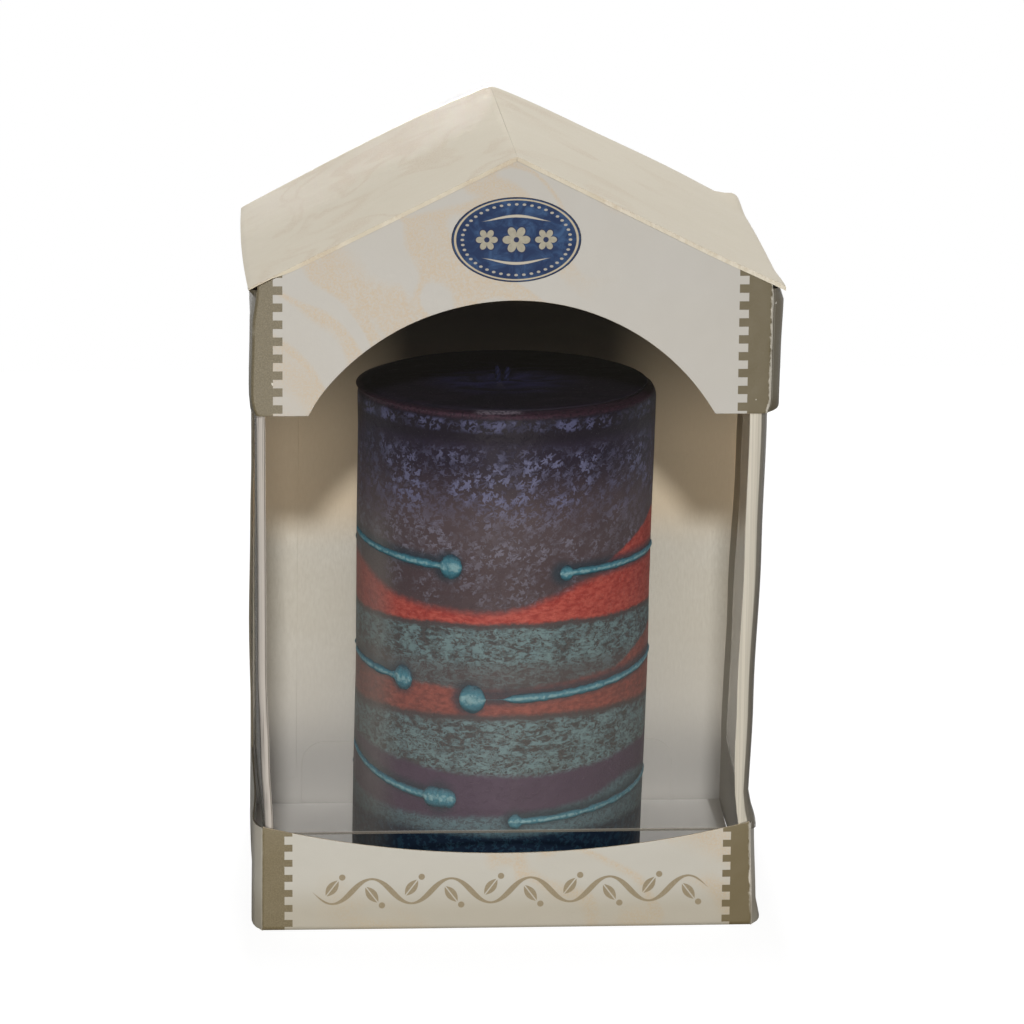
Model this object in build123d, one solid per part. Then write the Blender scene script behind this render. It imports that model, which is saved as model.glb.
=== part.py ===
from build123d import *
import math
import os

# A decorated pillar candle in its gift carton. The candle is a wax core dipped in a
# dyed skin, with raised wax drips running round it and a close bunch of wicks. The
# carton is a house-shaped board box with a window round its front and both sides.
# Millimetres. +X is to the right, +Y to the back and +Z up. The origin is on the
# surface that the carton stands on, at the middle of its base.

# Candle
candle_diameter = 76.0
candle_height = 131.5
shoulder_radius = 4.0
foot_radius = 0.8
dip_thickness = 1.6
bond_gap = 0.02

# Wicks
wick_count = 3
wick_diameter = 1.5
wick_ring_radius = 1.5
wick_stub = 3.0
wick_bore_gap = 0.03

# Wax drips
drip_sink_share = 0.35
drip_tail_share = 0.6
drip_bend_power = 1.5
drip_section_count = 7

# Carton board and the room that it leaves round the candle
board = 0.6
candle_side_gap = 27.0
candle_front_gap = 17.0
candle_rest_gap = 0.3
eave_over_candle = 34.6
cut_overrun = 5.0

# Roof
eave_overhang = 2.0
gable_rise = 33.3
ridge_seam = 0.3
roof_end_overhang = 0.3
roof_rest_gap = 0.15
roof_corner_radius = 3.0
ridge_flange_drop = 12.0
ridge_flange_end_gap = 6.0
roof_flap_raise = 3.4
roof_flap_end_height = 5.0
roof_flap_gap = 0.3

# Window
skirt_height = 32.1
arch_half_chord = 51.0
arch_rise = 29.4
band_corner_height = 28.0
band_centre_height = 20.3
side_band_height = 27.5
back_strip_width = 35.0

# Clear film
film_thickness = 0.25
film_gap = 0.1
film_corner_radius = 3.0
film_side_lap = 10.0
film_band_lap = 2.5
film_eave_gap = 1.0

# Glued seam and bottom closure
seam_flap_width = 12.0
seam_flap_end_gap = 4.0
seam_flap_taper = 3.0
bottom_flap_reach = 45.0
bottom_flap_gap = 1.0
bottom_flap_corner = 8.0
tuck_height = 18.0
tuck_side_gap = 1.5
tuck_corner_radius = 6.0

# Oval label on the gable
label_width = 32.6
label_height = 21.6
label_thickness = 0.12
label_centre_over_eave = 12.8

# Sizes that follow
candle_radius = candle_diameter / 2
candle_base = 2 * board + candle_rest_gap
candle_top = candle_base + candle_height
half_width = candle_radius + candle_side_gap
half_depth = candle_radius + candle_front_gap
inner_half_width = half_width - board
inner_half_depth = half_depth - board
eave_height = candle_top + eave_over_candle
skirt_bottom = eave_height - skirt_height
eave_reach = half_width + eave_overhang
roof_slope = gable_rise / eave_reach
roof_vertical_thickness = board * math.hypot(eave_reach, gable_rise) / eave_reach
half_seam = ridge_seam / 2
roof_half_length = half_depth + roof_end_overhang


# Each drip runs from a rounded bead back along a thin ridge. Angles are in degrees
# round the candle, from its front towards its right, and heights are shares of the
# candle's height.
class Drip:
    def __init__(self, name, bead_angle, bead_share, tail_angle, tail_share):
        self.name = name
        self.bead_angle = bead_angle
        self.bead_share = bead_share
        self.tail_angle = tail_angle
        self.tail_share = tail_share
        self.bead_radius = round_bead_radius
        self.bead_stretch = 0.0
        self.ridge_radius = wide_ridge_radius
        self.break_angle = None


round_bead_radius = 2.9
small_bead_radius = 1.8
large_bead_radius = 3.4
long_bead_radius = 2.3
long_bead_stretch = 4.6
wide_ridge_radius = 1.25
fine_ridge_radius = 1.0
half_turn = 180.0
full_turn = 360.0

front_drips = [
    Drip("upper_left", -24.0, 0.682, -88.0, 0.703),
    Drip("upper_right", 21.0, 0.669, 88.0, 0.671),
    Drip("middle_left", -45.0, 0.442, -88.0, 0.455),
    Drip("middle_right", -15.0, 0.417, 88.0, 0.455),
    Drip("lower_left", -27.0, 0.209, -88.0, 0.262),
    Drip("lower_right", 3.0, 0.167, 88.0, 0.205),
]
upper_right, middle_right = front_drips[1], front_drips[3]
lower_left, lower_right = front_drips[4], front_drips[5]
upper_right.bead_radius = small_bead_radius
upper_right.ridge_radius = fine_ridge_radius
middle_right.bead_radius = large_bead_radius
middle_right.break_angle = 0.0
lower_left.bead_radius = long_bead_radius
lower_left.bead_stretch = long_bead_stretch
lower_right.bead_radius = small_bead_radius
lower_right.ridge_radius = fine_ridge_radius


# Helpers
def roof_inside(x):
    return eave_height + roof_slope * (eave_reach - x)


def roof_outside(x):
    return roof_inside(x) + roof_vertical_thickness


def front_view_face(points):
    return make_face(Polyline(*points, close=True))


def front_view_plate(shape, y_front, y_back):
    plane = Plane(origin=(0, y_back, 0), x_dir=(1, 0, 0), z_dir=(0, -1, 0))
    return extrude(plane * shape, y_back - y_front)


def box_between(low, high):
    size = [b - a for a, b in zip(low, high)]
    centre = [(a + b) / 2 for a, b in zip(low, high)]
    return Pos(*centre) * Box(*size)


def mirrored(shape):
    return mirror(shape, Plane.YZ)


def cylinder_along_y(radius, centre_height):
    length = 2 * half_depth + 2 * cut_overrun
    return Pos(0, 0, centre_height) * Rot(X=90) * Cylinder(radius, length)


def upright_cylinder(radius, bottom, top):
    return Pos(0, 0, bottom) * Cylinder(radius, top - bottom, align=(Align.CENTER, Align.CENTER, Align.MIN))


# Carton walls
def gable_outline(bottom):
    shoulder = roof_inside(half_width) - roof_rest_gap
    peak = roof_inside(0) - roof_rest_gap
    return [
        (-half_width, bottom),
        (half_width, bottom),
        (half_width, shoulder),
        (0, peak),
        (-half_width, shoulder),
    ]


def make_front_gable_panel():
    panel = front_view_plate(front_view_face(gable_outline(skirt_bottom)), -half_depth, -inner_half_depth)
    arch_radius = (arch_half_chord**2 + arch_rise**2) / (2 * arch_rise)
    return panel - cylinder_along_y(arch_radius, skirt_bottom + arch_rise - arch_radius)


def make_front_base_band():
    band = box_between((-half_width, -half_depth, 0), (half_width, -inner_half_depth, band_corner_height))
    sag = band_corner_height - band_centre_height
    sweep_radius = (half_width**2 + sag**2) / (2 * sag)
    return band - cylinder_along_y(sweep_radius, band_centre_height + sweep_radius)


def make_back_panel():
    return front_view_plate(front_view_face(gable_outline(0)), inner_half_depth, half_depth)


def make_right_side_panel():
    lip_top = eave_height - roof_rest_gap
    lip_bottom = lip_top - eave_overhang
    wall = box_between(
        (inner_half_width, -inner_half_depth, 0),
        (half_width, inner_half_depth, lip_bottom),
    )
    window_back = inner_half_depth - back_strip_width
    window = box_between(
        (inner_half_width - cut_overrun, -half_depth, side_band_height),
        (half_width + cut_overrun, window_back, skirt_bottom),
    )
    lip = front_view_face(
        [
            (inner_half_width, lip_bottom),
            (half_width, lip_bottom),
            (eave_reach, lip_top),
            (eave_reach - board, lip_top),
        ]
    )
    return wall - window + front_view_plate(lip, -inner_half_depth, inner_half_depth)


def make_glue_seam_flap():
    inner_edge = -inner_half_width + seam_flap_width
    low = candle_base + seam_flap_end_gap
    high = eave_height - seam_flap_end_gap
    outline = [
        (-inner_half_width, low),
        (inner_edge, low + seam_flap_taper),
        (inner_edge, high - seam_flap_taper),
        (-inner_half_width, high),
    ]
    return front_view_plate(front_view_face(outline), inner_half_depth - board, inner_half_depth)


# Bottom closure
def make_bottom_panel():
    return box_between((-inner_half_width, -inner_half_depth, 0), (inner_half_width, inner_half_depth, board))


def make_right_bottom_flap():
    half_length = inner_half_depth - bottom_flap_gap
    flap = box_between(
        (inner_half_width - bottom_flap_reach, -half_length, board),
        (inner_half_width, half_length, 2 * board),
    )
    free_corners = flap.edges().filter_by(Axis.Z).group_by(Axis.X)[0]
    return chamfer(free_corners, bottom_flap_corner)


def make_bottom_tuck_flap():
    half_length = inner_half_width - seam_flap_width - tuck_side_gap
    flap = box_between(
        (-half_length, inner_half_depth - board, board),
        (half_length, inner_half_depth, board + tuck_height),
    )
    upper_corners = flap.edges().filter_by(Axis.Y).group_by(Axis.Z)[-1]
    return fillet(upper_corners, tuck_corner_radius)


# Window film: one strip bent round the two front corners
def make_window_film():
    film_bottom = band_corner_height - film_band_lap
    film_top = eave_height - film_eave_gap
    film_back = inner_half_depth - back_strip_width + film_side_lap

    def film_block(inset, corner_radius, y_back):
        block = box_between(
            (-inner_half_width + inset, -inner_half_depth + inset, film_bottom),
            (inner_half_width - inset, y_back, film_top),
        )
        front_corners = block.edges().filter_by(Axis.Z).group_by(Axis.Y)[0]
        return fillet(front_corners, corner_radius)

    outer = film_block(film_gap, film_corner_radius, film_back)
    inner = film_block(film_gap + film_thickness, film_corner_radius - film_thickness, film_back + cut_overrun)
    return outer - inner


def make_oval_label():
    oval = Pos(0, eave_height + label_centre_over_eave) * Ellipse(label_width / 2, label_height / 2)
    return front_view_plate(oval, -half_depth - label_thickness, -half_depth)


# Roof, right half
def make_right_roof_panel():
    outline = [
        (half_seam, roof_inside(half_seam)),
        (eave_reach, roof_inside(eave_reach)),
        (eave_reach, roof_outside(eave_reach)),
        (half_seam, roof_outside(half_seam)),
    ]
    panel = front_view_plate(front_view_face(outline), -roof_half_length, roof_half_length)
    plan = Pos(half_seam, 0) * Rectangle(
        eave_reach - half_seam, 2 * roof_half_length, align=(Align.MIN, Align.CENTER)
    )
    back_ridge_corner = plan.vertices().group_by(Axis.Y)[-1].sort_by(Axis.X)[0]
    plan = fillet(back_ridge_corner, roof_corner_radius)
    return panel & extrude(plan, roof_outside(0) + cut_overrun)


def make_right_ridge_flange():
    flange_bottom = roof_inside(half_seam) - ridge_flange_drop
    outer_x = half_seam + board
    outline = [
        (half_seam, flange_bottom),
        (outer_x, flange_bottom),
        (outer_x, roof_inside(outer_x)),
        (half_seam, roof_inside(half_seam)),
    ]
    half_length = inner_half_depth - ridge_flange_end_gap
    return front_view_plate(front_view_face(outline), -half_length, half_length)


def make_right_roof_flap(y_front):
    flap_bottom = eave_height + roof_flap_raise
    ridge_x = half_seam + board + roof_flap_gap
    eave_x = eave_reach - (roof_flap_raise + roof_flap_end_height) / roof_slope
    outline = [
        (ridge_x, flap_bottom),
        (eave_x - roof_flap_end_height, flap_bottom),
        (eave_x, roof_inside(eave_x)),
        (ridge_x, roof_inside(ridge_x)),
    ]
    return front_view_plate(front_view_face(outline), y_front, y_front + board)


# Candle
def wick_places():
    turn = full_turn / wick_count
    return [Rot(Z=turn * i) * Pos(wick_ring_radius, 0, 0) for i in range(wick_count)]


def make_wick(place):
    return place * upright_cylinder(wick_diameter / 2, candle_base, candle_top + wick_stub)


def wick_bores():
    bore_radius = wick_diameter / 2 + wick_bore_gap
    bore = upright_cylinder(bore_radius, candle_base - cut_overrun, candle_top + cut_overrun)
    return [place * bore for place in wick_places()]


def make_candle_core():
    core_radius = candle_radius - dip_thickness - bond_gap
    core = upright_cylinder(core_radius, candle_base, candle_top - dip_thickness - bond_gap)
    for bore in wick_bores():
        core = core - bore
    return core


def make_candle_skin():
    outside = upright_cylinder(candle_radius, candle_base, candle_top)
    rims = outside.edges().filter_by(GeomType.CIRCLE).sort_by(Axis.Z)
    outside = fillet(rims[-1], shoulder_radius)
    rims = outside.edges().filter_by(GeomType.CIRCLE).sort_by(Axis.Z)
    outside = fillet(rims[0], foot_radius)
    hollow = upright_cylinder(candle_radius - dip_thickness, candle_base - cut_overrun, candle_top - dip_thickness)
    skin = outside - hollow
    for bore in wick_bores():
        skin = skin - bore
    return skin


def surface_point(angle, height_share, sink):
    turn = math.radians(angle)
    radius = candle_radius - sink
    height = candle_base + height_share * candle_height
    return Vector(radius * math.sin(turn), -radius * math.cos(turn), height)


def drip_path_point(drip, share, sink):
    angle = drip.bead_angle + (drip.tail_angle - drip.bead_angle) * share
    climb = (drip.tail_share - drip.bead_share) * share**drip_bend_power
    return surface_point(angle, drip.bead_share + climb, sink)


def drip_plane(drip, share, sink):
    step = 0.5 / drip_section_count
    here = drip_path_point(drip, share, sink)
    ahead = drip_path_point(drip, share + step, sink)
    behind = drip_path_point(drip, max(share - step, 0), sink)
    outward = Vector(here.X, here.Y, 0)
    return Plane(origin=here, x_dir=outward, z_dir=ahead - behind)


def make_drip_ridge(drip):
    start = 0.0
    if drip.break_angle is not None:
        start = (drip.break_angle - drip.bead_angle) / (drip.tail_angle - drip.bead_angle)
    sections = []
    for i in range(drip_section_count):
        along = i / (drip_section_count - 1)
        share = start + (1 - start) * along
        radius = drip.ridge_radius * (1 - (1 - drip_tail_share) * along)
        plane = drip_plane(drip, share, radius * drip_sink_share)
        sections.append(plane * Circle(radius))
    return loft(sections)


def make_drip_bead(drip):
    bead = Sphere(drip.bead_radius)
    if drip.bead_stretch > 0:
        half_stretch = drip.bead_stretch / 2
        ends = [Pos(0, 0, side * half_stretch) * Sphere(drip.bead_radius) for side in (-1, 1)]
        bead = Cylinder(drip.bead_radius, drip.bead_stretch) + ends
    return drip_plane(drip, 0, drip.bead_radius * drip_sink_share) * bead


def make_drip(drip):
    wax = make_drip_ridge(drip) + make_drip_bead(drip)
    return wax - upright_cylinder(candle_radius, candle_base, candle_top)


# Every node by name
def make_nodes():
    right_side_panel = make_right_side_panel()
    right_bottom_flap = make_right_bottom_flap()
    nodes = {
        "front_gable_panel": make_front_gable_panel(),
        "front_base_band": make_front_base_band(),
        "left_side_panel": mirrored(right_side_panel),
        "right_side_panel": right_side_panel,
        "back_panel": make_back_panel(),
        "glue_seam_flap": make_glue_seam_flap(),
        "bottom_panel": make_bottom_panel(),
        "bottom_tuck_flap": make_bottom_tuck_flap(),
        "left_bottom_flap": mirrored(right_bottom_flap),
        "right_bottom_flap": right_bottom_flap,
        "window_film": make_window_film(),
        "oval_label": make_oval_label(),
    }

    film_inside = inner_half_depth - film_gap - film_thickness
    right_roof = {
        "roof_panel": make_right_roof_panel(),
        "ridge_flange": make_right_ridge_flange(),
        "front_roof_flap": make_right_roof_flap(-film_inside + roof_flap_gap),
        "back_roof_flap": make_right_roof_flap(inner_half_depth - roof_flap_gap - board),
    }
    for name, shape in right_roof.items():
        nodes["left_" + name] = mirrored(shape)
        nodes["right_" + name] = shape

    nodes["candle_core"] = make_candle_core()
    nodes["candle_skin"] = make_candle_skin()
    for i, place in enumerate(wick_places()):
        nodes[f"wick_{i + 1}"] = make_wick(place)
    for drip in front_drips:
        shape = make_drip(drip)
        nodes[f"front_{drip.name}_wax_drip"] = shape
        nodes[f"back_{drip.name}_wax_drip"] = Rot(Z=half_turn) * shape
    return nodes


os.makedirs("parts", exist_ok=True)
for node_name, solid in make_nodes().items():
    export_step(solid, f"parts/{node_name}.step")
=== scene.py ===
import bpy
import bmesh
import math
from collections import namedtuple
from mathutils import Matrix, Vector, noise


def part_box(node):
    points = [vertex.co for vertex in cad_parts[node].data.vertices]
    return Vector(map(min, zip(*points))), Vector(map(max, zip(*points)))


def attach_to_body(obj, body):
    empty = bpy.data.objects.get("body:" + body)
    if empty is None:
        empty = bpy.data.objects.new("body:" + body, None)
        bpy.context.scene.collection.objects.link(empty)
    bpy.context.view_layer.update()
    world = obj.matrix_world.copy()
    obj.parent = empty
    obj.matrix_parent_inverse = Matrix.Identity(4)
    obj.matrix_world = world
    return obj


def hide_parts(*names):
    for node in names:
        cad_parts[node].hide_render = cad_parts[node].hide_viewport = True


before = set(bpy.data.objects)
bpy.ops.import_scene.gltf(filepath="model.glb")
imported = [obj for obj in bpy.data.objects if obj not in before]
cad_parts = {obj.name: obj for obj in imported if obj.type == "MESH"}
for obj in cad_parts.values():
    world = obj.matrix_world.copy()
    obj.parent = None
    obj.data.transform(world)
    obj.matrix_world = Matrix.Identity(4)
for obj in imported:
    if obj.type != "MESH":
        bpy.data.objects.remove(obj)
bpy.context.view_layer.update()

# A decorated pillar candle in its house-shaped gift carton. Sizes are in millimetres in
# the row frame, and turn into metres when a mesh is made.
MM = 0.001


def box_mm(node):
    low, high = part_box(node)
    return low / MM, high / MM


gable_low, gable_high = box_mm("front_gable_panel")
_, band_high = box_mm("front_base_band")
_, side_high = box_mm("right_side_panel")
film_low, film_high = box_mm("window_film")
label_low, label_high = box_mm("oval_label")
roof_low, roof_high = box_mm("right_roof_panel")
flange_low, flange_high = box_mm("right_ridge_flange")
front_flap_low, front_flap_high = box_mm("right_front_roof_flap")
_, back_flap_high = box_mm("right_back_roof_flap")
seam_low, seam_high = box_mm("glue_seam_flap")
bottom_low, bottom_high = box_mm("bottom_panel")
bottom_flap_low, bottom_flap_high = box_mm("right_bottom_flap")
tuck_low, tuck_high = box_mm("bottom_tuck_flap")
skin_low, skin_high = box_mm("candle_skin")
wick_low, wick_high = box_mm("wick_1")

# Carton
board = bottom_high.z - bottom_low.z
half_width = gable_high.x
half_depth = -gable_low.y
inner_half_depth = half_depth - board
skirt_bottom = gable_low.z
band_corner_height = band_high.z
band_centre_height = 20.3
side_band_height = 27.5
window_back = 19.4
arch_half_chord = 51.0
arch_top = 164.9
eave_height = roof_low.z
eave_reach = roof_high.x
half_seam = roof_low.x
roof_half_length = roof_high.y
outer_slope = (roof_high.z - eave_height) / (eave_reach - half_seam)
roof_vertical_thickness = board * math.hypot(1, outer_slope)
roof_slope = (roof_high.z - roof_vertical_thickness - eave_height) / (eave_reach - half_seam)
lip_bottom = side_high.z - (eave_reach - half_width)
roof_rest_gap = 0.15
roof_corner_radius = 3.0
front_lip = 0.75
front_lip_reach = 0.12
front_lip_start = 60.0
ridge_seam_shown = 0.045
ridge_tightness = 0.15
seam_flap_taper = 3.0
bottom_flap_corner = 8.0
tuck_corner_radius = 6.0
crease_radius = 0.9
rim_round = 0.14
pressed_flap = 0.3
pressed_edge = 0.1
fold_round = 0.45
flat_half_width = half_width - crease_radius
flat_half_depth = half_depth - crease_radius
crease_run = crease_radius * math.pi / 4

# Mesh steps, and the ways that a sheet faces
front_pitch = 1.25
wall_pitch = 2.5
flap_pitch = 3.0
to_front = (0, -1, 0)
to_back = (0, 1, 0)
to_floor = (0, 0, -1)
to_sky = (0, 0, 1)

# Corners of a ring round each round piece
skin_corners = 192
label_corners = 96
wick_corners = 24
drip_corners = 18

# How the real carton leans and bulges. Each corner's shift to the right, the bulge of
# each side and the flare of each side just behind its front crease go by height.
left_front_shift = [
    (0, 0.9), (28, 1.0), (45, 0.1), (70, -0.7), (134, -0.9), (141, -1.4), (158, -1.0), (167, 0.0)]
left_back_shift = [(0, 0.0), (26, 0.2), (60, 0.3), (100, 0.6), (132, 0.5), (150, 0.1), (169, 0.0)]
right_front_shift = [(0, -2.4), (28, -3.2), (60, -2.2), (100, -0.9), (135, -0.2), (169, 0.0)]
right_back_shift = [(0, 1.0), (20, 1.2), (60, 2.3), (100, 3.8), (135, 4.8), (150, 3.8), (169, 0.6)]
left_bulge = [(0, 0.6), (34, 0.5), (60, 1.0), (90, 0.6), (110, 0.0), (132, -0.3), (160, 0.1)]
right_bulge = [(0, 0.6), (60, 1.2), (133, 0.8), (160, 0.8)]
left_flare = [(0, 2.0), (26, 1.9), (40, 0.0), (132, 0.0), (136, 0.6), (160, 0.6)]
right_flare = [(0, 2.4), (5, 1.4), (26, 1.2), (40, 0.0), (132, 0.0), (136, 2.4), (150, 2.6), (166, 3.2)]
flare_peak = 8.0
front_bow = 0.3
front_bow_reach = 30.0
gable_bow_height = 160.0
band_bow_height = 14.0
foot_fold_fullness = 0.85
skirt_curl = 0.8
skirt_curl_height = 3.0
skirt_curl_reach = 9.0
upper_wall_from = side_band_height + 20.0
roof_bow = 1.1
eave_bow = 0.8
splayed_corner = 1.0
splay_start = -30.0
flange_swing = 0.5
flange_top_gap = 0.05
flap_top_gap = 0.02
lifted_corner_rise = 1.9
back_edge_rise = 1.0
back_edge_start = 22.0
back_edge_full = 54.0
back_rise_start = -30.0
lifted_corner_width = 5.5
lifted_corner_reach = 21.0

# How much less the roof's edges are worn than the walls' creases, as a distance from the edge
front_unworn = 0.35
ridge_unworn = 0.75
eave_unworn = 0.4

# Film
film_thickness = 0.25
film_edge_round = 0.05
film_corner_radius = 3.0
film_ripple = 0.22
film_foot_curl = 2.2
film_grazing_opacity = 0.8

# Candle
candle_radius = skin_high.x
candle_base = skin_low.z
candle_top = skin_high.z
dip_thickness = 1.6
shoulder_radius = 4.2
foot_radius = 0.8
wick_radius = (wick_high.y - wick_low.y) / 2
wick_ring_radius = wick_high.x - wick_radius
wick_count = 3
wick_strands = 3
wick_lay = 5.0
top_sink = 0.5
wall_unevenness = 0.16
top_unevenness = 0.12

# The hand-dipped candle leans a little to the right and swells towards its top.
candle_lean = [(0, -0.3), (70, 0.9), (133, 1.6)]
candle_swell = [(0, 0.5), (70, 0.7), (120, 1.0), (133, 1.2)]


# Numbers
def smooth(value, start, end):
    share = min(max((value - start) / (end - start), 0.0), 1.0)
    return share * share * (3 - 2 * share)


def between(points, position):
    """The value at a position, eased from each listed (position, value) to the next."""
    if position <= points[0][0]:
        return points[0][1]
    for (start, low), (end, high) in zip(points, points[1:]):
        if position <= end:
            return low + (high - low) * smooth(position, start, end)
    return points[-1][1]


def spread(low, high, pitch):
    """Even positions from low to high, both included."""
    count = max(1, round((high - low) / pitch))
    return [low + (high - low) * i / count for i in range(count + 1)]


def joined(*lists):
    """One rising list of positions without repeats."""
    merged = []
    for value in sorted(v for values in lists for v in values):
        if not merged or value - merged[-1] > 0.01:
            merged.append(value)
    return merged


# Mesh making
def piece_from(maker, name):
    mesh = bpy.data.meshes.new(name)
    maker.to_mesh(mesh)
    maker.free()
    mesh.shade_smooth()
    piece = bpy.data.objects.new(name, mesh)
    bpy.context.scene.collection.objects.link(piece)
    return piece


far_from_crease = 50.0


def make_grid(u_values, v_values, place, outward, hole=None, crease_gap=None):
    """A grid sheet whose points are place(u, v), without the cells where hole(u, v) is true."""
    maker = bmesh.new()
    gap_layer = maker.verts.layers.float.new("crease_gap")
    rows = []
    for u in u_values:
        row = []
        for v in v_values:
            vert = maker.verts.new(Vector(place(u, v)) * MM)
            vert[gap_layer] = crease_gap(u, v) if crease_gap else far_from_crease
            row.append(vert)
        rows.append(row)
    for i in range(len(u_values) - 1):
        for j in range(len(v_values) - 1):
            middle_u = (u_values[i] + u_values[i + 1]) / 2
            middle_v = (v_values[j] + v_values[j + 1]) / 2
            if hole and hole(middle_u, middle_v):
                continue
            corners = (rows[i][j], rows[i + 1][j], rows[i + 1][j + 1], rows[i][j + 1])
            maker.faces.new(corners)
    loose = [v for v in maker.verts if not v.link_faces]
    bmesh.ops.delete(maker, geom=loose, context="VERTS")
    maker.normal_update()
    facing = sum((f.normal for f in maker.faces), Vector())
    if facing.dot(Vector(outward)) < 0:
        bmesh.ops.reverse_faces(maker, faces=maker.faces[:])
    return maker


def turns_round(count):
    """Even angles round a full circle."""
    return [2 * math.pi * k / count for k in range(count)]


def skin_rings(rings):
    """A solid through rings of points, each with the crest value that its colour follows."""
    maker = bmesh.new()
    crest_layer = maker.verts.layers.float.new("crest")
    loops = []
    for ring in rings:
        loop = []
        for point, crest in ring:
            vert = maker.verts.new(Vector(point) * MM)
            vert[crest_layer] = crest
            loop.append(vert)
        loops.append(loop)
    count = len(loops[0])
    for here, ahead in zip(loops, loops[1:]):
        for k in range(count):
            following = (k + 1) % count
            maker.faces.new((here[k], here[following], ahead[following], ahead[k]))
    maker.faces.new(list(reversed(loops[0])))
    maker.faces.new(loops[-1])
    bmesh.ops.recalc_face_normals(maker, faces=maker.faces[:])
    return maker


def attach(piece, body, node, materials):
    for material in materials:
        piece.data.materials.append(material)
    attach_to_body(piece, body)
    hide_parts(node)


def thicken(piece, thickness, edge_round, inner_offset=0, rim_offset=0):
    """Gives a sheet its thickness behind its outward face, and rounds its cut edges."""
    solid = piece.modifiers.new("thickness", "SOLIDIFY")
    solid.thickness = thickness * MM
    solid.offset = -1.0
    solid.use_even_offset = True
    solid.material_offset = inner_offset
    solid.material_offset_rim = rim_offset
    rim = piece.modifiers.new("rim", "BEVEL")
    rim.width = edge_round * MM
    rim.segments = 2
    rim.limit_method = "ANGLE"
    rim.angle_limit = math.radians(50)
    piece.modifiers.new("shading", "WEIGHTED_NORMAL")


def board_piece(name, maker, body, node, outer, rim=None, thickness=board, edge_round=rim_round):
    """A board panel or flap: printed outside, plain inside, with its cut or folded rim."""
    piece = piece_from(maker, name)
    inner_flap = outer is inside_with_painted_shading
    rim = rim or (inside_with_painted_shading if inner_flap else cut_edge)
    attach(piece, body, node, [outer, rim, inside_with_painted_shading])
    thicken(piece, thickness, edge_round, inner_offset=2, rim_offset=1)


# Material making
def node_sum(operation, swapped=False):
    """A method of Term that adds the operation's node, with its two numbers swapped if asked."""
    def method(term, *others):
        numbers = (*others, term) if swapped else (term, *others)
        return term.paint.math(operation, *numbers)
    return method


class Term:
    """A number that a material's nodes work out, so that a formula reads as a plain sum."""

    def __init__(self, paint, socket):
        self.paint = paint
        self.socket = socket

    __add__ = node_sum("ADD")
    __radd__ = node_sum("ADD", swapped=True)
    __sub__ = node_sum("SUBTRACT")
    __rsub__ = node_sum("SUBTRACT", swapped=True)
    __mul__ = node_sum("MULTIPLY")
    __rmul__ = node_sum("MULTIPLY", swapped=True)
    __truediv__ = node_sum("DIVIDE")
    __pow__ = node_sum("POWER")
    __abs__ = node_sum("ABSOLUTE")


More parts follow.
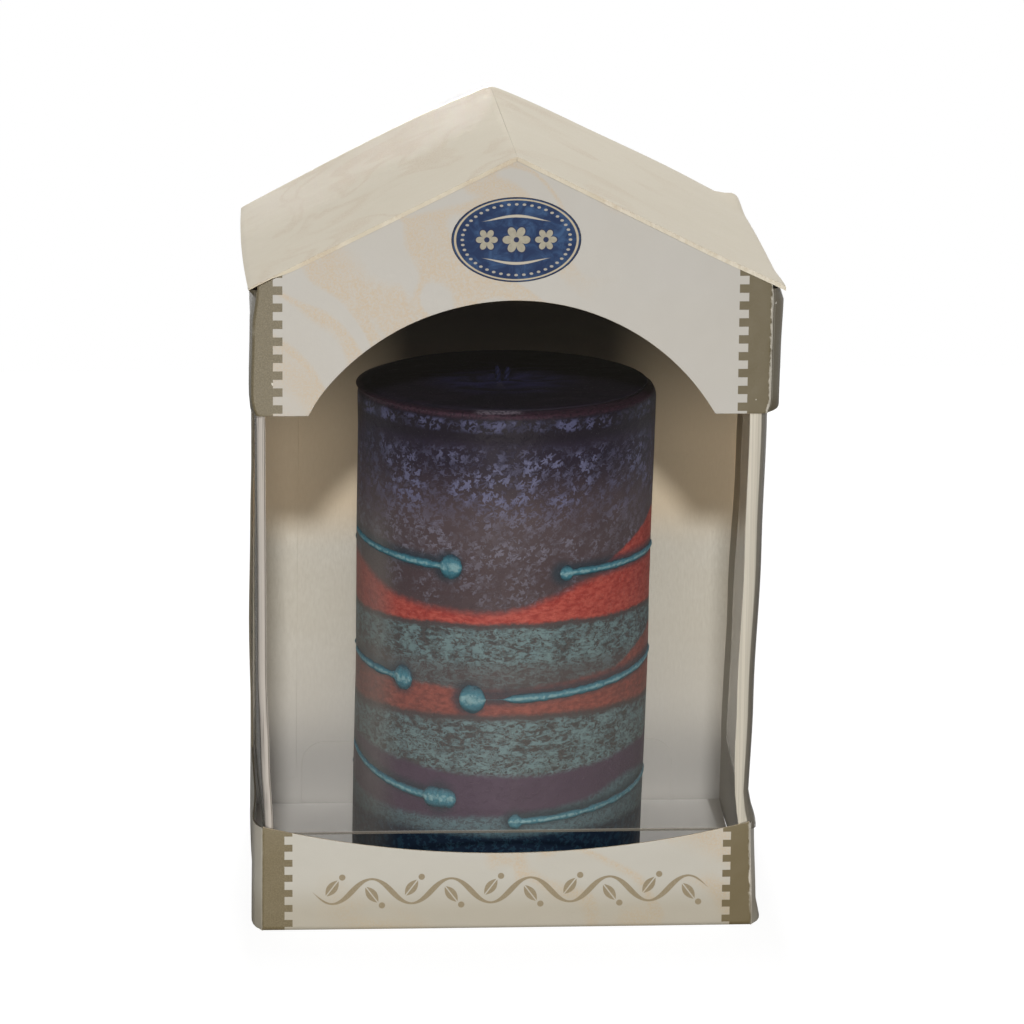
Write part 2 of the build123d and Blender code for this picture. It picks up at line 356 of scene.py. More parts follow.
class Paint:
    """Builds one material. Places are in millimetres in the row frame."""

    def __init__(self, name):
        self.material = bpy.data.materials.new(name)
        self.material.use_nodes = True
        self.tree = self.material.node_tree
        self.tree.nodes.clear()
        self.shader = self.node("ShaderNodeBsdfPrincipled")
        self.output = self.node("ShaderNodeOutputMaterial")
        self.tree.links.new(self.shader.outputs[0], self.output.inputs[0])
        scaled = self.node("ShaderNodeVectorMath")
        scaled.operation = "SCALE"
        self.put(scaled.inputs[0], self.node("ShaderNodeTexCoord").outputs["Object"])
        scaled.inputs["Scale"].default_value = 1 / MM
        self.place = scaled.outputs[0]
        self.x, self.y, self.z = self.parts(self.place)
        self.tone = None

    def node(self, kind):
        return self.tree.nodes.new(kind)

    def put(self, socket, value):
        if isinstance(value, Term):
            value = value.socket
        if isinstance(value, bpy.types.NodeSocket):
            self.tree.links.new(value, socket)
        elif isinstance(value, tuple) and len(value) == 3 and socket.type == "RGBA":
            socket.default_value = (*value, 1.0)
        else:
            socket.default_value = value

    def parts(self, vector):
        """The three numbers of a vector."""
        made = self.node("ShaderNodeSeparateXYZ")
        self.put(made.inputs[0], vector)
        return [Term(self, socket) for socket in made.outputs]

    def math(self, operation, *values):
        made = self.node("ShaderNodeMath")
        made.operation = operation
        for socket, value in zip(made.inputs, values):
            self.put(socket, value)
        return Term(self, made.outputs[0])

    def most(self, *values):
        """The largest of some numbers."""
        largest = values[0]
        for value in values[1:]:
            largest = self.math("MAXIMUM", largest, value)
        return largest

    def distance(self, x, y):
        return self.math("SQRT", x * x + y * y)

    def smooth(self, value, start, end):
        """0 at start and 1 at end, eased between them."""
        made = self.node("ShaderNodeMapRange")
        made.interpolation_type = "SMOOTHSTEP"
        self.put(made.inputs["Value"], value)
        self.put(made.inputs["From Min"], start)
        self.put(made.inputs["From Max"], end)
        return Term(self, made.outputs[0])

    def inside(self, value, low, high, soft):
        """1 between low and high, with eased borders."""
        return self.smooth(value, low - soft, low + soft) * self.smooth(value, high + soft, high - soft)

    def noise(self, scale, detail=2.0, rough=0.5, distortion=0.0, at=None):
        made = self.node("ShaderNodeTexNoise")
        self.put(made.inputs["Vector"], at or self.place)
        made.inputs["Scale"].default_value = scale
        made.inputs["Detail"].default_value = detail
        made.inputs["Roughness"].default_value = rough
        made.inputs["Distortion"].default_value = distortion
        return Term(self, made.outputs[0])

    def vector(self, x, y, z):
        made = self.node("ShaderNodeCombineXYZ")
        for socket, value in zip(made.inputs, (x, y, z)):
            self.put(socket, value)
        return made.outputs[0]

    def mix(self, share, first, second):
        made = self.node("ShaderNodeMix")
        made.data_type = "RGBA"
        self.put(made.inputs[0], share)
        self.put(made.inputs[6], first)
        self.put(made.inputs[7], second)
        return made.outputs[2]

    def base(self, share, first, second):
        """Starts the material's colour as a blend of two."""
        self.tone = self.mix(share, first, second)

    def lay(self, share, color):
        """Lays a colour over what is there so far."""
        self.tone = self.mix(share, self.tone, color)

    def curve(self, value, points, low, high, top):
        """The value at a position, through given (position, value) points."""
        made = self.node("ShaderNodeFloatCurve")
        drawn = made.mapping.curves[0]
        shares = [((position - low) / (high - low), level / top) for position, level in points]
        drawn.points[0].location = shares[0]
        drawn.points[1].location = shares[-1]
        for share in shares[1:-1]:
            drawn.points.new(*share)
        made.mapping.update()
        self.put(made.inputs["Value"], (value - low) / (high - low))
        return Term(self, made.outputs[0]) * top

    def attribute(self, name):
        made = self.node("ShaderNodeAttribute")
        made.attribute_name = name
        return Term(self, made.outputs["Fac"])

    def finish(self, roughness, height=None, specular=0.5):
        self.put(self.shader.inputs["Base Color"], self.tone)
        self.put(self.shader.inputs["Roughness"], roughness)
        self.shader.inputs["Specular IOR Level"].default_value = specular
        if height is not None:
            bump = self.node("ShaderNodeBump")
            bump.inputs["Distance"].default_value = MM
            bump.inputs["Strength"].default_value = 1.0
            self.put(bump.inputs["Height"], height)
            self.put(self.shader.inputs["Normal"], bump.outputs[0])
        return self.material


def seen(red, green, blue):
    """A colour given as it looks on screen, from 0 to 255."""
    def plain(level):
        level = level / 255
        return level / 12.92 if level <= 0.04045 else ((level + 0.055) / 1.055) ** 2.4
    return (plain(red), plain(green), plain(blue))


# Board finishes
worn_board = seen(226, 222, 212)
peach = seen(180, 163, 140)

# The gold corner bands of a print: where gold and its teeth start across the front, the teeth's
# places up the corner, the band's ends, and how far the whole print is off the middle.
Corners = namedtuple("Corners", "solid_from tooth_from first_tooth pitch tooth low high offset")
upper_corners = Corners(
    59.75, 57.35, first_tooth=137.3, pitch=4.34, tooth=2.2, low=130.0, high=180.0, offset=1.05)
lower_corners = Corners(
    57.4, 55.35, first_tooth=2.0, pitch=4.04, tooth=1.9, low=-5.0, high=40.0, offset=0.7)
side_solid = 7.0
side_tooth = 9.2
gold_border = 0.06

# The vine on the base band
vine_half_run = 51.0
vine_centre = 10.4
vine_period = 20.4
vine_swing = 3.3


def gold_share(paint, corners):
    """1 where a gold corner band is printed."""
    phase = paint.math("FRACT", (paint.z - (corners.first_tooth - corners.tooth / 2)) / corners.pitch)
    on_tooth = paint.inside(phase * corners.pitch, 0.0, corners.tooth, gold_border)
    across = abs(paint.x + corners.offset)
    on_front = paint.smooth(abs(paint.y), half_depth - 1.6, half_depth - 1.2)
    from_corner = half_depth - abs(paint.y)

    def past(value, start, side=1):
        return paint.smooth(value, start - side * gold_border, start + side * gold_border)

    front_solid = past(across, corners.solid_from)
    front_tooth = past(across, corners.tooth_from) * on_tooth
    side_band = past(from_corner, side_solid, -1)
    side_teeth = past(from_corner, side_tooth, -1) * on_tooth
    front = paint.most(front_solid, front_tooth) * on_front
    side = paint.most(side_band, side_teeth) * (1 - on_front)
    return paint.most(front, side) * paint.inside(paint.z, corners.low, corners.high, 0.1)


def vine_share(paint):
    """A running vine with leaves and berries along the base band."""
    line_border = 0.08
    turn = paint.x * (2 * math.pi / vine_period)
    stem_line = paint.math("SINE", turn) * vine_swing
    rise = paint.z - vine_centre
    slope = paint.math("COSINE", turn) * (vine_swing * 2 * math.pi / vine_period)
    lean = paint.math("SQRT", slope * slope + 1.0)
    stem_gap = abs(rise - stem_line) / lean
    stroke = 0.5 + paint.math("COSINE", turn * 2) * 0.22
    stroke = stroke * paint.smooth(abs(paint.x), vine_half_run + 0.5, vine_half_run - 6.0)
    stem = paint.smooth(stem_gap - stroke, line_border, -line_border)
    half_cell = vine_period / 2
    cell = paint.math("ROUND", (paint.x - vine_period / 4) / half_cell)
    in_cell = paint.x - vine_period / 4 - cell * half_cell
    side = 1.0 - 2.0 * paint.math("FLOORED_MODULO", cell, 2.0)
    up = rise * side
    leaf_across = in_cell * 0.8 + (up + 0.9) * 0.6
    leaf_along = (up + 0.9) * 0.8 - in_cell * 0.6
    bow = 1.35 * (1.0 - leaf_along * leaf_along / 7.4)
    leaf = paint.smooth(abs(leaf_across) - bow, line_border, -line_border)
    leaf = leaf * paint.smooth(abs(leaf_along), 2.75, 2.65)
    vein = paint.smooth(abs(leaf_across), 0.12, 0.2)
    berry = paint.smooth(paint.distance(in_cell - 2.6, up + 3.8), 0.9, 0.74)
    drawn = paint.most(stem, leaf * vein, berry)
    return drawn * paint.smooth(abs(paint.x), vine_half_run, vine_half_run - 0.2)


def marbling(paint, left_bias):
    """1 in the print's faint brushed veins, with more of them to the left as the bias grows."""
    x, y, z = paint.x, paint.y, paint.z
    drift = paint.noise(0.017, 1.5, 0.45)
    drift_two = paint.noise(0.02, 1.5, 0.45, at=paint.vector(y + 90.0, z, x))
    slant = z * 0.9 + x * 0.5 + drift_two * 90.0
    warped = paint.vector(x * 0.3 + drift * 80.0, y * 0.5 + drift_two * 30.0, slant)
    vein = paint.noise(0.062, 1.5, 0.4, 0.3, at=warped)
    stroke = paint.smooth(vein, 0.46, 0.53) * paint.smooth(vein, 0.64, 0.55)
    cloud = paint.noise(0.018, 2.0, 0.5, at=paint.vector(x + 40.0, y, z))
    return stroke * paint.smooth(cloud + x * (left_bias * -0.003), 0.38, 0.58)


def lay_gold(paint, corners):
    """Speckled gold corner bands with small chips, and the share of the board that they cover."""
    x, y, z = paint.x, paint.y, paint.z
    share = gold_share(paint, corners)
    speck = paint.smooth(paint.noise(2.6, 4.0, 0.75), 0.35, 0.7)
    gilt = paint.mix(speck, seen(84, 77, 57), seen(112, 102, 79))
    gilt = paint.mix(paint.smooth(x, -70.0, 70.0), gilt, seen(88, 79, 56))
    gilt = paint.mix(paint.smooth(z, 60.0, 40.0) * 0.15, gilt, seen(152, 136, 102))
    paint.lay(share, gilt)
    chip = paint.smooth(paint.noise(0.42, 2.0, 0.5, at=paint.vector(z, x, y)), 0.755, 0.77)
    paint.lay(chip * share * 0.7, worn_board)
    return share


def printed_board_finish(name, color, swirl, corners=None, vine=False, left_bias=0.0, wear=1.0, crease_shade=0.0):
    """Coated cream board with faint marbling, gold corners and wear along its creases, and painted shade
    towards its foot and, where asked, along its creases.
    """
    paint = Paint(name)
    x, y, z = paint.x, paint.y, paint.z
    fleck = paint.noise(2.2, 4.0, 0.75)
    grain = paint.smooth(fleck, 0.40, 0.58)
    paint.base(marbling(paint, left_bias) * swirl * (0.2 + grain * 0.8), color, peach)
    rub = paint.noise(0.05, 3.0, 0.6)
    paint.lay(paint.smooth(rub, 0.35, 0.7) * 0.06, seen(168, 158, 138))
    # Painted shade: darker towards the foot.
    paint.lay(paint.smooth(z, 14.0, 4.0) * 0.5, seen(150, 141, 122))
    shine = 0.42
    relief = paint.noise(2.2, 4.0, 0.6) * 0.02 + paint.noise(0.08, 2.0, 0.5) * 0.35
    if vine:
        ink = paint.smooth(paint.noise(3.0, 3.0, 0.7), 0.2, 0.6)
        paint.lay(vine_share(paint) * (0.78 + ink * 0.2), seen(130, 118, 94))
    if corners:
        shine = 0.42 - lay_gold(paint, corners) * 0.04
    gap = paint.attribute("crease_gap")
    scuff = paint.noise(0.9, 4.0, 0.7, at=paint.vector(x, y, z * 0.55))
    patchy = paint.noise(0.07, 3.0, 0.6, at=paint.vector(x, y + 17.0, z))
    rubbed_here = paint.smooth(patchy + x * 0.0022, 0.40, 0.62)
    worn = paint.smooth(gap + scuff * 1.8, 1.55, 0.95) * rubbed_here * wear
    paint.lay(worn * 0.75, worn_board)
    # Painted shade along the creases.
    if crease_shade:
        painted_shade = paint.smooth(gap + scuff * 1.6, 0.92, 0.66)
        paint.lay(painted_shade * crease_shade, seen(96, 84, 64))
    rough = shine + paint.smooth(fleck, 0.3, 0.7) * 0.12 + worn * 0.2
    return paint.finish(rough, relief - worn * 0.03, specular=0.35)


def inside_with_painted_shading_finish():
    """The board's plain inside, with painted light and shade: palest at the foot, where the floor flaps are
    painted light; painted shade greys the lower wall, painted warm light lies above it, painted shade
    darkens it under the roof, a painted shadow lies above the candle and painted shade fills the side
    walls' back corners.
    """
    paint = Paint("inside_with_painted_shading")
    x, y, z = paint.x, paint.y, paint.z
    fibre = paint.noise(1.6, 5.0, 0.7, at=paint.vector(x, y, z * 0.3))
    patch = paint.noise(0.04, 3.0, 0.5)
    paint.base(paint.smooth(fibre, 0.3, 0.7), seen(206, 201, 189), seen(218, 214, 203))
    paint.lay(paint.smooth(patch, 0.35, 0.65) * 0.3, seen(200, 193, 178))
    # Painted shade: a little darker and greyer low on the walls.
    paint.lay(paint.smooth(z + patch * 6.0, 64.0, 8.0) * 0.9, seen(200, 197, 192))
    # Painted light: the floor flaps are painted pale, to lift them out of the base band's shadow.
    on_flaps = paint.smooth(z, 1.33, 1.27)
    on_flaps = on_flaps * paint.smooth(abs(y), inner_half_depth - 0.8, inner_half_depth - 1.4)
    paint.lay(on_flaps, seen(250, 248, 244))
    # Painted light: a warm glow on the wall where it lies in the gable's shadow.
    paint.lay(paint.smooth(z, 72.0, 88.0) * 0.6, seen(232, 208, 172))
    # Painted shade: darker up under the roof.
    paint.lay(paint.smooth(z, 101.0, 142.0) * 0.93, seen(83, 75, 62))
    # Painted shadow: nearly black in the middle above the candle.
    top_middle = paint.smooth(z, 134.0, 154.0) * paint.smooth(abs(x), 30.0, 6.0)
    paint.lay(top_middle * 0.7, seen(20, 20, 20))
    # Painted shade: the side walls darken towards the back corners.
    in_corner = paint.smooth(y, 0.0, half_depth) * paint.smooth(y, half_depth - 0.9, half_depth - 1.3)
    in_corner = in_corner * paint.smooth(abs(x), half_width - 3.5, half_width - 2.5)
    paint.lay(in_corner * 0.6, seen(112, 103, 89))
    return paint.finish(0.75 + fibre * 0.1, fibre * 0.03, specular=0.15)


def fold_edge_finish():
    """The roof's folded front edges: rubbed pale, and brown where the board is cut at the left eave."""
    paint = Paint("fold_edge")
    rub = paint.noise(0.6, 4.0, 0.7)
    paint.base(paint.smooth(rub, 0.35, 0.65), seen(196, 189, 175), seen(222, 217, 206))
    at_eave = paint.smooth(paint.x, -front_lip_start + 3.5, -front_lip_start)
    paint.lay(at_eave * 0.9, seen(150, 122, 88))
    return paint.finish(0.7 + rub * 0.15, rub * 0.08, specular=0.15)


def cut_edge_finish(name, dark, pale):
    paint = Paint(name)
    ply = paint.noise(5.0, 3.0, 0.7)
    paint.base(paint.smooth(ply, 0.3, 0.7), dark, pale)
    return paint.finish(0.8 + ply * 0.1, ply * 0.04, specular=0.1)


inside_with_painted_shading = inside_with_painted_shading_finish()
cut_edge = cut_edge_finish("cut_edge", seen(168, 150, 122), seen(206, 196, 176))
# Painted shade: the side boards' cut edges are darkened.
painted_shade_cut_edge = cut_edge_finish("painted_shade_cut_edge", seen(92, 86, 74), seen(122, 114, 98))
fold_edge = fold_edge_finish()
front_cream = seen(174, 172, 168)
band_cream = seen(176, 174, 167)
gable_print = printed_board_finish("gable_print", front_cream, 0.8, upper_corners, left_bias=1.0, crease_shade=0.3)
band_print = printed_board_finish("band_print", band_cream, 0.8, lower_corners, vine=True, crease_shade=0.3)
roof_print = printed_board_finish("roof_print", seen(193, 184, 165), 0.6, left_bias=0.1, wear=0.6)
side_print = printed_board_finish("side_print", seen(188, 184, 173), 0.5, upper_corners, crease_shade=0.2)
wall_print = printed_board_finish("wall_print", seen(190, 185, 172), 0.5)


# Carton walls
def roof_inside(x):
    return eave_height + roof_slope * (eave_reach - abs(x))


def lean(x, y, z):
    """How far the leaning corners carry a point of the carton to the right."""
    across = min(max((x / half_width + 1) / 2, 0.0), 1.0)
    forward = min(max((1 - y / half_depth) / 2, 0.0), 1.0)
    left = between(left_front_shift, z) * forward**2 + between(left_back_shift, z) * (1 - forward) ** 2
    right = between(right_back_shift, z)
    right += (between(right_front_shift, z) - right) * forward
    return left + (right - left) * across


def leaned(x, y, z):
    return x + lean(x, y, z), y, z


def wall_bend(along, flat_half):
    """A place along a wall and how far it has turned in, round the creases at its two ends."""
    over = abs(along) - flat_half
    if over <= 0:
        return along, 0.0
    turn = over / crease_radius
    reach = flat_half + crease_radius * math.sin(turn)
    return math.copysign(reach, along), crease_radius * (1 - math.cos(turn))


def wall_positions(flat_half, pitch, *marks):
    run = flat_half + crease_run
    bends = [side * (flat_half + crease_run * i / 3) for side in (-1, 1) for i in range(4)]
    return joined(spread(-flat_half, flat_half, pitch), bends, [-run, run], marks)


def wall_crease_gap(flat_half):
    return lambda along, v: flat_half + crease_run - abs(along)


def bowed_front(x, z, middle):
    across = 1 - (x / half_width) ** 2
    return front_bow * across * smooth(abs(z - middle), front_bow_reach, 0)


arch_rise = arch_top - skirt_bottom
arch_radius = (arch_half_chord**2 + arch_rise**2) / (2 * arch_rise)
band_sag = band_corner_height - band_centre_height
band_sweep_radius = (half_width**2 + band_sag**2) / (2 * band_sag)


def arch_height(x):
    if abs(x) >= arch_half_chord:
        return skirt_bottom
    return arch_top - arch_radius + math.sqrt(arch_radius**2 - x * x)


def gable_top(x):
    return roof_inside(min(abs(x), half_width)) - roof_rest_gap


def band_top(x):
    return band_centre_height + band_sweep_radius - math.sqrt(band_sweep_radius**2 - x * x)


def gable_surface(x, z):
    return -half_depth - bowed_front(x, z, gable_bow_height)


def skirt_tuck(gap, z):
    """The skirt's lower edge curls in a little beside each corner crease."""
    near_corner = smooth(gap, skirt_curl_reach, 1)
    return skirt_curl * near_corner * smooth(z, skirt_bottom + skirt_curl_height, skirt_bottom)


def place_gable(along, share):
    x, inset = wall_bend(along, flat_half_width)
    z = arch_height(x) + (gable_top(x) - arch_height(x)) * share
    gap = flat_half_width + crease_run - abs(along)
    x -= math.copysign(skirt_tuck(gap, z) * smooth(gap, 3, 0), x)
    return leaned(x, gable_surface(x, z) + inset, z)


def place_band(along, share):
    x, inset = wall_bend(along, flat_half_width)
    z = band_top(x) * share
    fold = crease_radius - min(z, crease_radius)
    inset += crease_radius - math.sqrt(crease_radius**2 - fold**2 * foot_fold_fullness)
    return leaned(x, -half_depth - bowed_front(x, z, band_bow_height) + inset, z)


def make_front():
    along = wall_positions(flat_half_width, front_pitch, -arch_half_chord, arch_half_chord)
    gap = wall_crease_gap(flat_half_width)
    shares = joined(spread(0, 1, 0.055), [0.02])
    maker = make_grid(along, shares, place_gable, to_front, crease_gap=gap)
    board_piece("gable_board", maker, "carton", "front_gable_panel", gable_print)
    shares = joined(spread(0, 1, 0.07), [0.01, 0.025, 0.045])
    maker = make_grid(along, shares, place_band, to_front, crease_gap=gap)
    board_piece("base_band_board", maker, "carton", "front_base_band", band_print)


def side_outward(sign, along, z):
    """How far a side panel stands out: its bulge, its corner's flare, the lip under the eave."""
    corner_gap = flat_half_depth + crease_run - abs(along)
    bulge = between(right_bulge if sign > 0 else left_bulge, z) * math.cos(along / half_depth * math.pi / 2)
    from_front = max(flat_half_depth + along, 0.0) / flare_peak
    bulge += between(right_flare if sign > 0 else left_flare, z) * from_front * math.exp(1 - from_front)
    bulge *= smooth(z, side_high.z + 0.4, lip_bottom - 1)
    lip = max(z - lip_bottom, 0.0) * smooth(corner_gap, 0.4, 3.0)
    tuck = skirt_tuck(corner_gap, z) if along < 0 and z > upper_wall_from else 0.0
    return bulge + lip - tuck


def roof_lift(x, y):
    """How far the right roof half's back edge and corner, and the walls under them, are bent up."""
    corner = smooth(x, eave_reach - lifted_corner_width, eave_reach - 1.0)
    corner *= smooth(y, roof_half_length - lifted_corner_reach, roof_half_length)
    edge = smooth(x, back_edge_start, back_edge_full) * smooth(y, back_rise_start, roof_half_length)
    return lifted_corner_rise * corner + back_edge_rise * edge


def make_side(sign, name, node):
    def place(along, z):
        y, inset = wall_bend(along, flat_half_depth)
        x = half_width - inset + side_outward(sign, along, z)
        if sign > 0:
            z += roof_lift(x, y) * smooth(z, skirt_bottom, lip_bottom)
        return leaned(sign * x, y, z)

    def in_window(along, z):
        return along < window_back and side_band_height < z < skirt_bottom

    along = wall_positions(flat_half_depth, wall_pitch, window_back)
    heights = joined(
        spread(0, side_band_height, 2.4),
        spread(side_band_height, skirt_bottom, 6.0),
        spread(skirt_bottom, lip_bottom, 2.2),
        [skirt_bottom + 0.7, lip_bottom + 0.7, lip_bottom + 1.4, side_high.z],
    )
    gap = wall_crease_gap(flat_half_depth)
    maker = make_grid(along, heights, place, (sign, 0, 0), in_window, gap)
    board_piece(name, maker, "carton", node, side_print, rim=painted_shade_cut_edge)


def make_back():
    def place(along, share):
        x, inset = wall_bend(along, flat_half_width)
        z = gable_top(x) * share
        z += roof_lift(x, half_depth) * smooth(z, skirt_bottom, lip_bottom)
        return leaned(x, half_depth - inset, z)

    along = wall_positions(flat_half_width, wall_pitch)
    gap = wall_crease_gap(flat_half_width)
    maker = make_grid(along, spread(0, 1, 0.04), place, to_back, crease_gap=gap)
    board_piece("back_board", maker, "carton", "back_panel", wall_print)


def upright_sheet(name, positions, low, high, y, facing, body, node, **pressed):
    """A flat inner flap that stands across the carton, with its outer face at y."""
    def place(x, share):
        point = (x, y, low(x) + (high(x) - low(x)) * share)
        return leaned(*point) if body == "carton" else point

    maker = make_grid(positions, spread(0, 1, 0.1), place, facing)
    board_piece(name, maker, body, node, inside_with_painted_shading, **pressed)


def make_bottom_flaps():
    inner_edge = bottom_flap_low.x
    half_length = bottom_flap_high.y

    def place_flap(sign):
        def place(x, share):
            cut = max(bottom_flap_corner - (x - inner_edge), 0.0)
            return leaned(sign * x, (half_length - cut) * share, bottom_flap_low.z)
        return place

    cut_end = inner_edge + bottom_flap_corner
    positions = joined(spread(inner_edge, bottom_flap_high.x, flap_pitch), [cut_end])
    for sign, side in ((-1, "left"), (1, "right")):
        maker = make_grid(positions, spread(-1, 1, 0.08), place_flap(sign), to_floor)
        board_piece(f"{side}_bottom_flap_board", maker, "carton", f"{side}_bottom_flap", inside_with_painted_shading)


def make_bottom_tuck():
    def tuck_top(x):
        over = max(abs(x) - (tuck_high.x - tuck_corner_radius), 0.0)
        return tuck_high.z - tuck_corner_radius + math.sqrt(max(tuck_corner_radius**2 - over**2, 0.0))

    from_end = [0, 0.3, 1.0, 2.2, 4.0, tuck_corner_radius]
    ends = [side * (tuck_high.x - gap) for side in (-1, 1) for gap in from_end]
    positions = joined(spread(tuck_low.x, tuck_high.x, 5), ends)
    upright_sheet("bottom_tuck_board", positions, lambda x: tuck_low.z, tuck_top, tuck_high.y, to_back,
                  "carton", "bottom_tuck_flap", thickness=pressed_flap, edge_round=pressed_edge)


def make_bottom():
    reach = bottom_high.x
    maker = make_grid(
        spread(-reach, reach, 4), spread(-inner_half_depth, inner_half_depth, 4),
        lambda x, y: leaned(x, y, bottom_low.z), to_floor)
    board_piece("bottom_board", maker, "carton", "bottom_panel", wall_print)
    make_bottom_flaps()
    make_bottom_tuck()


def make_glue_seam():
    width = seam_high.x - seam_low.x

    def taper(x):
        return seam_flap_taper * (x - seam_low.x) / width

    upright_sheet("glue_seam_board", spread(seam_low.x, seam_high.x, 2), lambda x: seam_low.z + taper(x),
                  lambda x: seam_high.z - taper(x), seam_high.y, to_back, "carton", "glue_seam_flap",
                  thickness=pressed_flap, edge_round=pressed_edge)


# Roof
def fold_drop(gap):
    """How far a rounded fold or edge falls below the flat board at a distance from its end."""
    if gap >= fold_round:
        return 0.0
    return fold_round - math.sqrt(max(fold_round**2 - (fold_round - gap) ** 2, 0.0))


def ridge_edge(y):
    over = max(y - (roof_half_length - roof_corner_radius), 0.0)
    return ridge_seam_shown + roof_corner_radius - math.sqrt(max(roof_corner_radius**2 - over**2, 0.0))


def lip_drop(x, y):
    """The roof's front edge is folded down a little over the gable's top edge."""
    over = -roof_half_length - y
    if over <= 0:
        return 0.0
    return front_lip * (over / front_lip_reach) * smooth(x, -front_lip_start, 3 - front_lip_start)


def make_roof_board(sign, side, body):
    span = eave_reach - half_seam
    front_end = roof_half_length + front_lip_reach

    def place(share, y):
        start = ridge_edge(y)
        x = start + (eave_reach - start) * share
        front_gap = y + roof_half_length + front_lip_reach
        gaps = (x - start + ridge_tightness, eave_reach - x, roof_half_length - y, front_gap)
        drop = fold_drop(min(gaps)) + lip_drop(sign * x, y)
        z = roof_inside(x) + roof_vertical_thickness - drop
        z += roof_bow * math.sin(math.pi * share ** 0.7) * smooth(y, -roof_half_length, 0)
        if sign > 0:
            lift = roof_lift(x, y)
            z += lift
            x += 0.1 * lift * smooth(share, 0.9, 1.0)
        x += eave_bow * share * (1 - (y / roof_half_length) ** 2) * smooth(share, 0.6, 1.0)
        if sign > 0:
            x += splayed_corner * smooth(share, 0.7, 1.0) * smooth(y, splay_start, -roof_half_length)
        return sign * x, y, z

    def gap(share, y):
        reach = span * share
        return min(y + roof_half_length + front_unworn, reach + ridge_unworn, span - reach + eave_unworn)

    edge_steps = [0.0, 0.08, 0.2, 0.4, 0.8, 1.6]
    shares = joined([step / span for step in edge_steps], [1 - step / span for step in edge_steps])
    shares = sorted(set(shares + spread(0.05, 0.95, 0.04)))
    ends = [step - roof_half_length for step in edge_steps]
    ends += [roof_half_length - step for step in edge_steps + [2.2, 3.0]]
    ends += [-front_end, -roof_half_length - front_lip_reach / 2]
    depths = joined(ends, spread(4 - roof_half_length, roof_half_length - 4, 3.0))
    maker = make_grid(shares, depths, place, (0, 0, 1), crease_gap=gap)
    board_piece(f"{side}_roof_board", maker, body, f"{side}_roof_panel", roof_print, fold_edge)


def make_ridge_flange(sign, side, body):
    top = roof_inside(half_seam) - flange_top_gap
    bottom = flange_low.z

    def place(y, share):
        swing = flange_swing * (1 - share) ** 2 * (1 - (y / flange_high.y) ** 2)
        return sign * (half_seam + swing), y, bottom + (top - bottom) * share

    depths = spread(flange_low.y, flange_high.y, flap_pitch)
    maker = make_grid(depths, spread(0, 1, 0.125), place, (-sign, 0, 0))
    board_piece(f"{side}_ridge_flange_board", maker, body, f"{side}_ridge_flange", inside_with_painted_shading)


def make_roof_flaps(sign, side, body):
    inner, outer = front_flap_low.x, front_flap_high.x
    bottom = front_flap_low.z
    slant_from = outer - (roof_inside(outer) - bottom)

    def low(x):
        return bottom + max(abs(x) - slant_from, 0.0)

    def high(x):
        return roof_inside(x) - flap_top_gap

    positions = [sign * x for x in joined(spread(inner, outer, flap_pitch), [slant_from])]
    if sign < 0:
        positions.reverse()
    for end, y, facing in (("front", front_flap_low.y, to_front), ("back", back_flap_high.y, to_back)):
        node = f"{side}_{end}_roof_flap"
        upright_sheet(f"{node}_board", positions, low, high, y, facing, body, node)


def make_roof(sign, side):
    body = f"{side}_roof"
    make_roof_board(sign, side, body)
    make_ridge_flange(sign, side, body)
    make_roof_flaps(sign, side, body)


make_front()
make_side(-1, "left_side_board", "left_side_panel")
make_side(1, "right_side_board", "right_side_panel")
make_back()
make_bottom()
make_glue_seam()
make_roof(-1, "left")
make_roof(1, "right")


# Film
def film_finish():
    """Clear film with painted reflections: a pale glint where it bends round the front corners, a dark line
    at its turn, and a veil at grazing view, pale on the left and darker on the right.
    """
    paint = Paint("clear_film")
    x, y, z = paint.x, paint.y, paint.z
    past = paint.attribute("crease_gap")
    left = paint.smooth(x, 0.0, -1.0)
    bend_start = left * 2.1 - 1.5 + paint.smooth(z, 50.0, 25.0) * (1 - left) * 1.2
    bend = paint.smooth(past - bend_start, -0.1, 0.15) * paint.smooth(past - left * 0.4, 3.8, 3.5)
    streak = paint.noise(1.5, 2.0, 0.5, at=paint.vector(x * 1.6, y * 1.6, z * 0.01))
    haze = 0.0035 + paint.smooth(z, 112.0, 48.0) * (0.022 + paint.noise(0.05, 3.0, 0.5) * 0.009)
    # Painted reflection: dark lines along the bend.
    first_line = paint.inside(past, 0.7, 0.95, 0.12) * left
    last_line = paint.smooth(past - left * 1.7, 1.3, 1.7) * bend
    soft_line = paint.smooth(streak, 0.46, 0.38) * left * 0.5
    # Painted highlight: a pale glint over the bend.
    bend_glint = bend * (0.78 + paint.smooth(streak, 0.4, 0.62) * 0.16)
    lower_edge = paint.smooth(z, film_low.z + 0.9, film_low.z + 0.4) * 0.55
    facing = paint.node("ShaderNodeLayerWeight")
    facing.inputs["Blend"].default_value = 0.5
    grazing = paint.smooth(Term(paint, facing.outputs["Facing"]), 0.55, 0.88)
    opacity = paint.most(haze, bend_glint, lower_edge, grazing * film_grazing_opacity)
    paint.put(paint.shader.inputs["Alpha"], opacity)
    lines = paint.most(first_line, last_line, soft_line * bend)
    dark = paint.most(lines * 0.85, lower_edge * 1.6)
    ripple = paint.noise(0.02, 2.0, 0.5) * 0.6
    # Painted reflection: the bend's glint, and a veil at grazing view, pale on the left and darker on the
    # right.
    bend_tone = paint.mix(left, seen(194, 189, 177), seen(192, 186, 180))
    grazing_reflection_tone = paint.mix(left, seen(196, 190, 178), seen(120, 116, 106))
    paint.base(grazing * (1 - bend), bend_tone, grazing_reflection_tone)
    paint.lay(dark, seen(84, 79, 70))
    return paint.finish(0.2, ripple, specular=0.4)


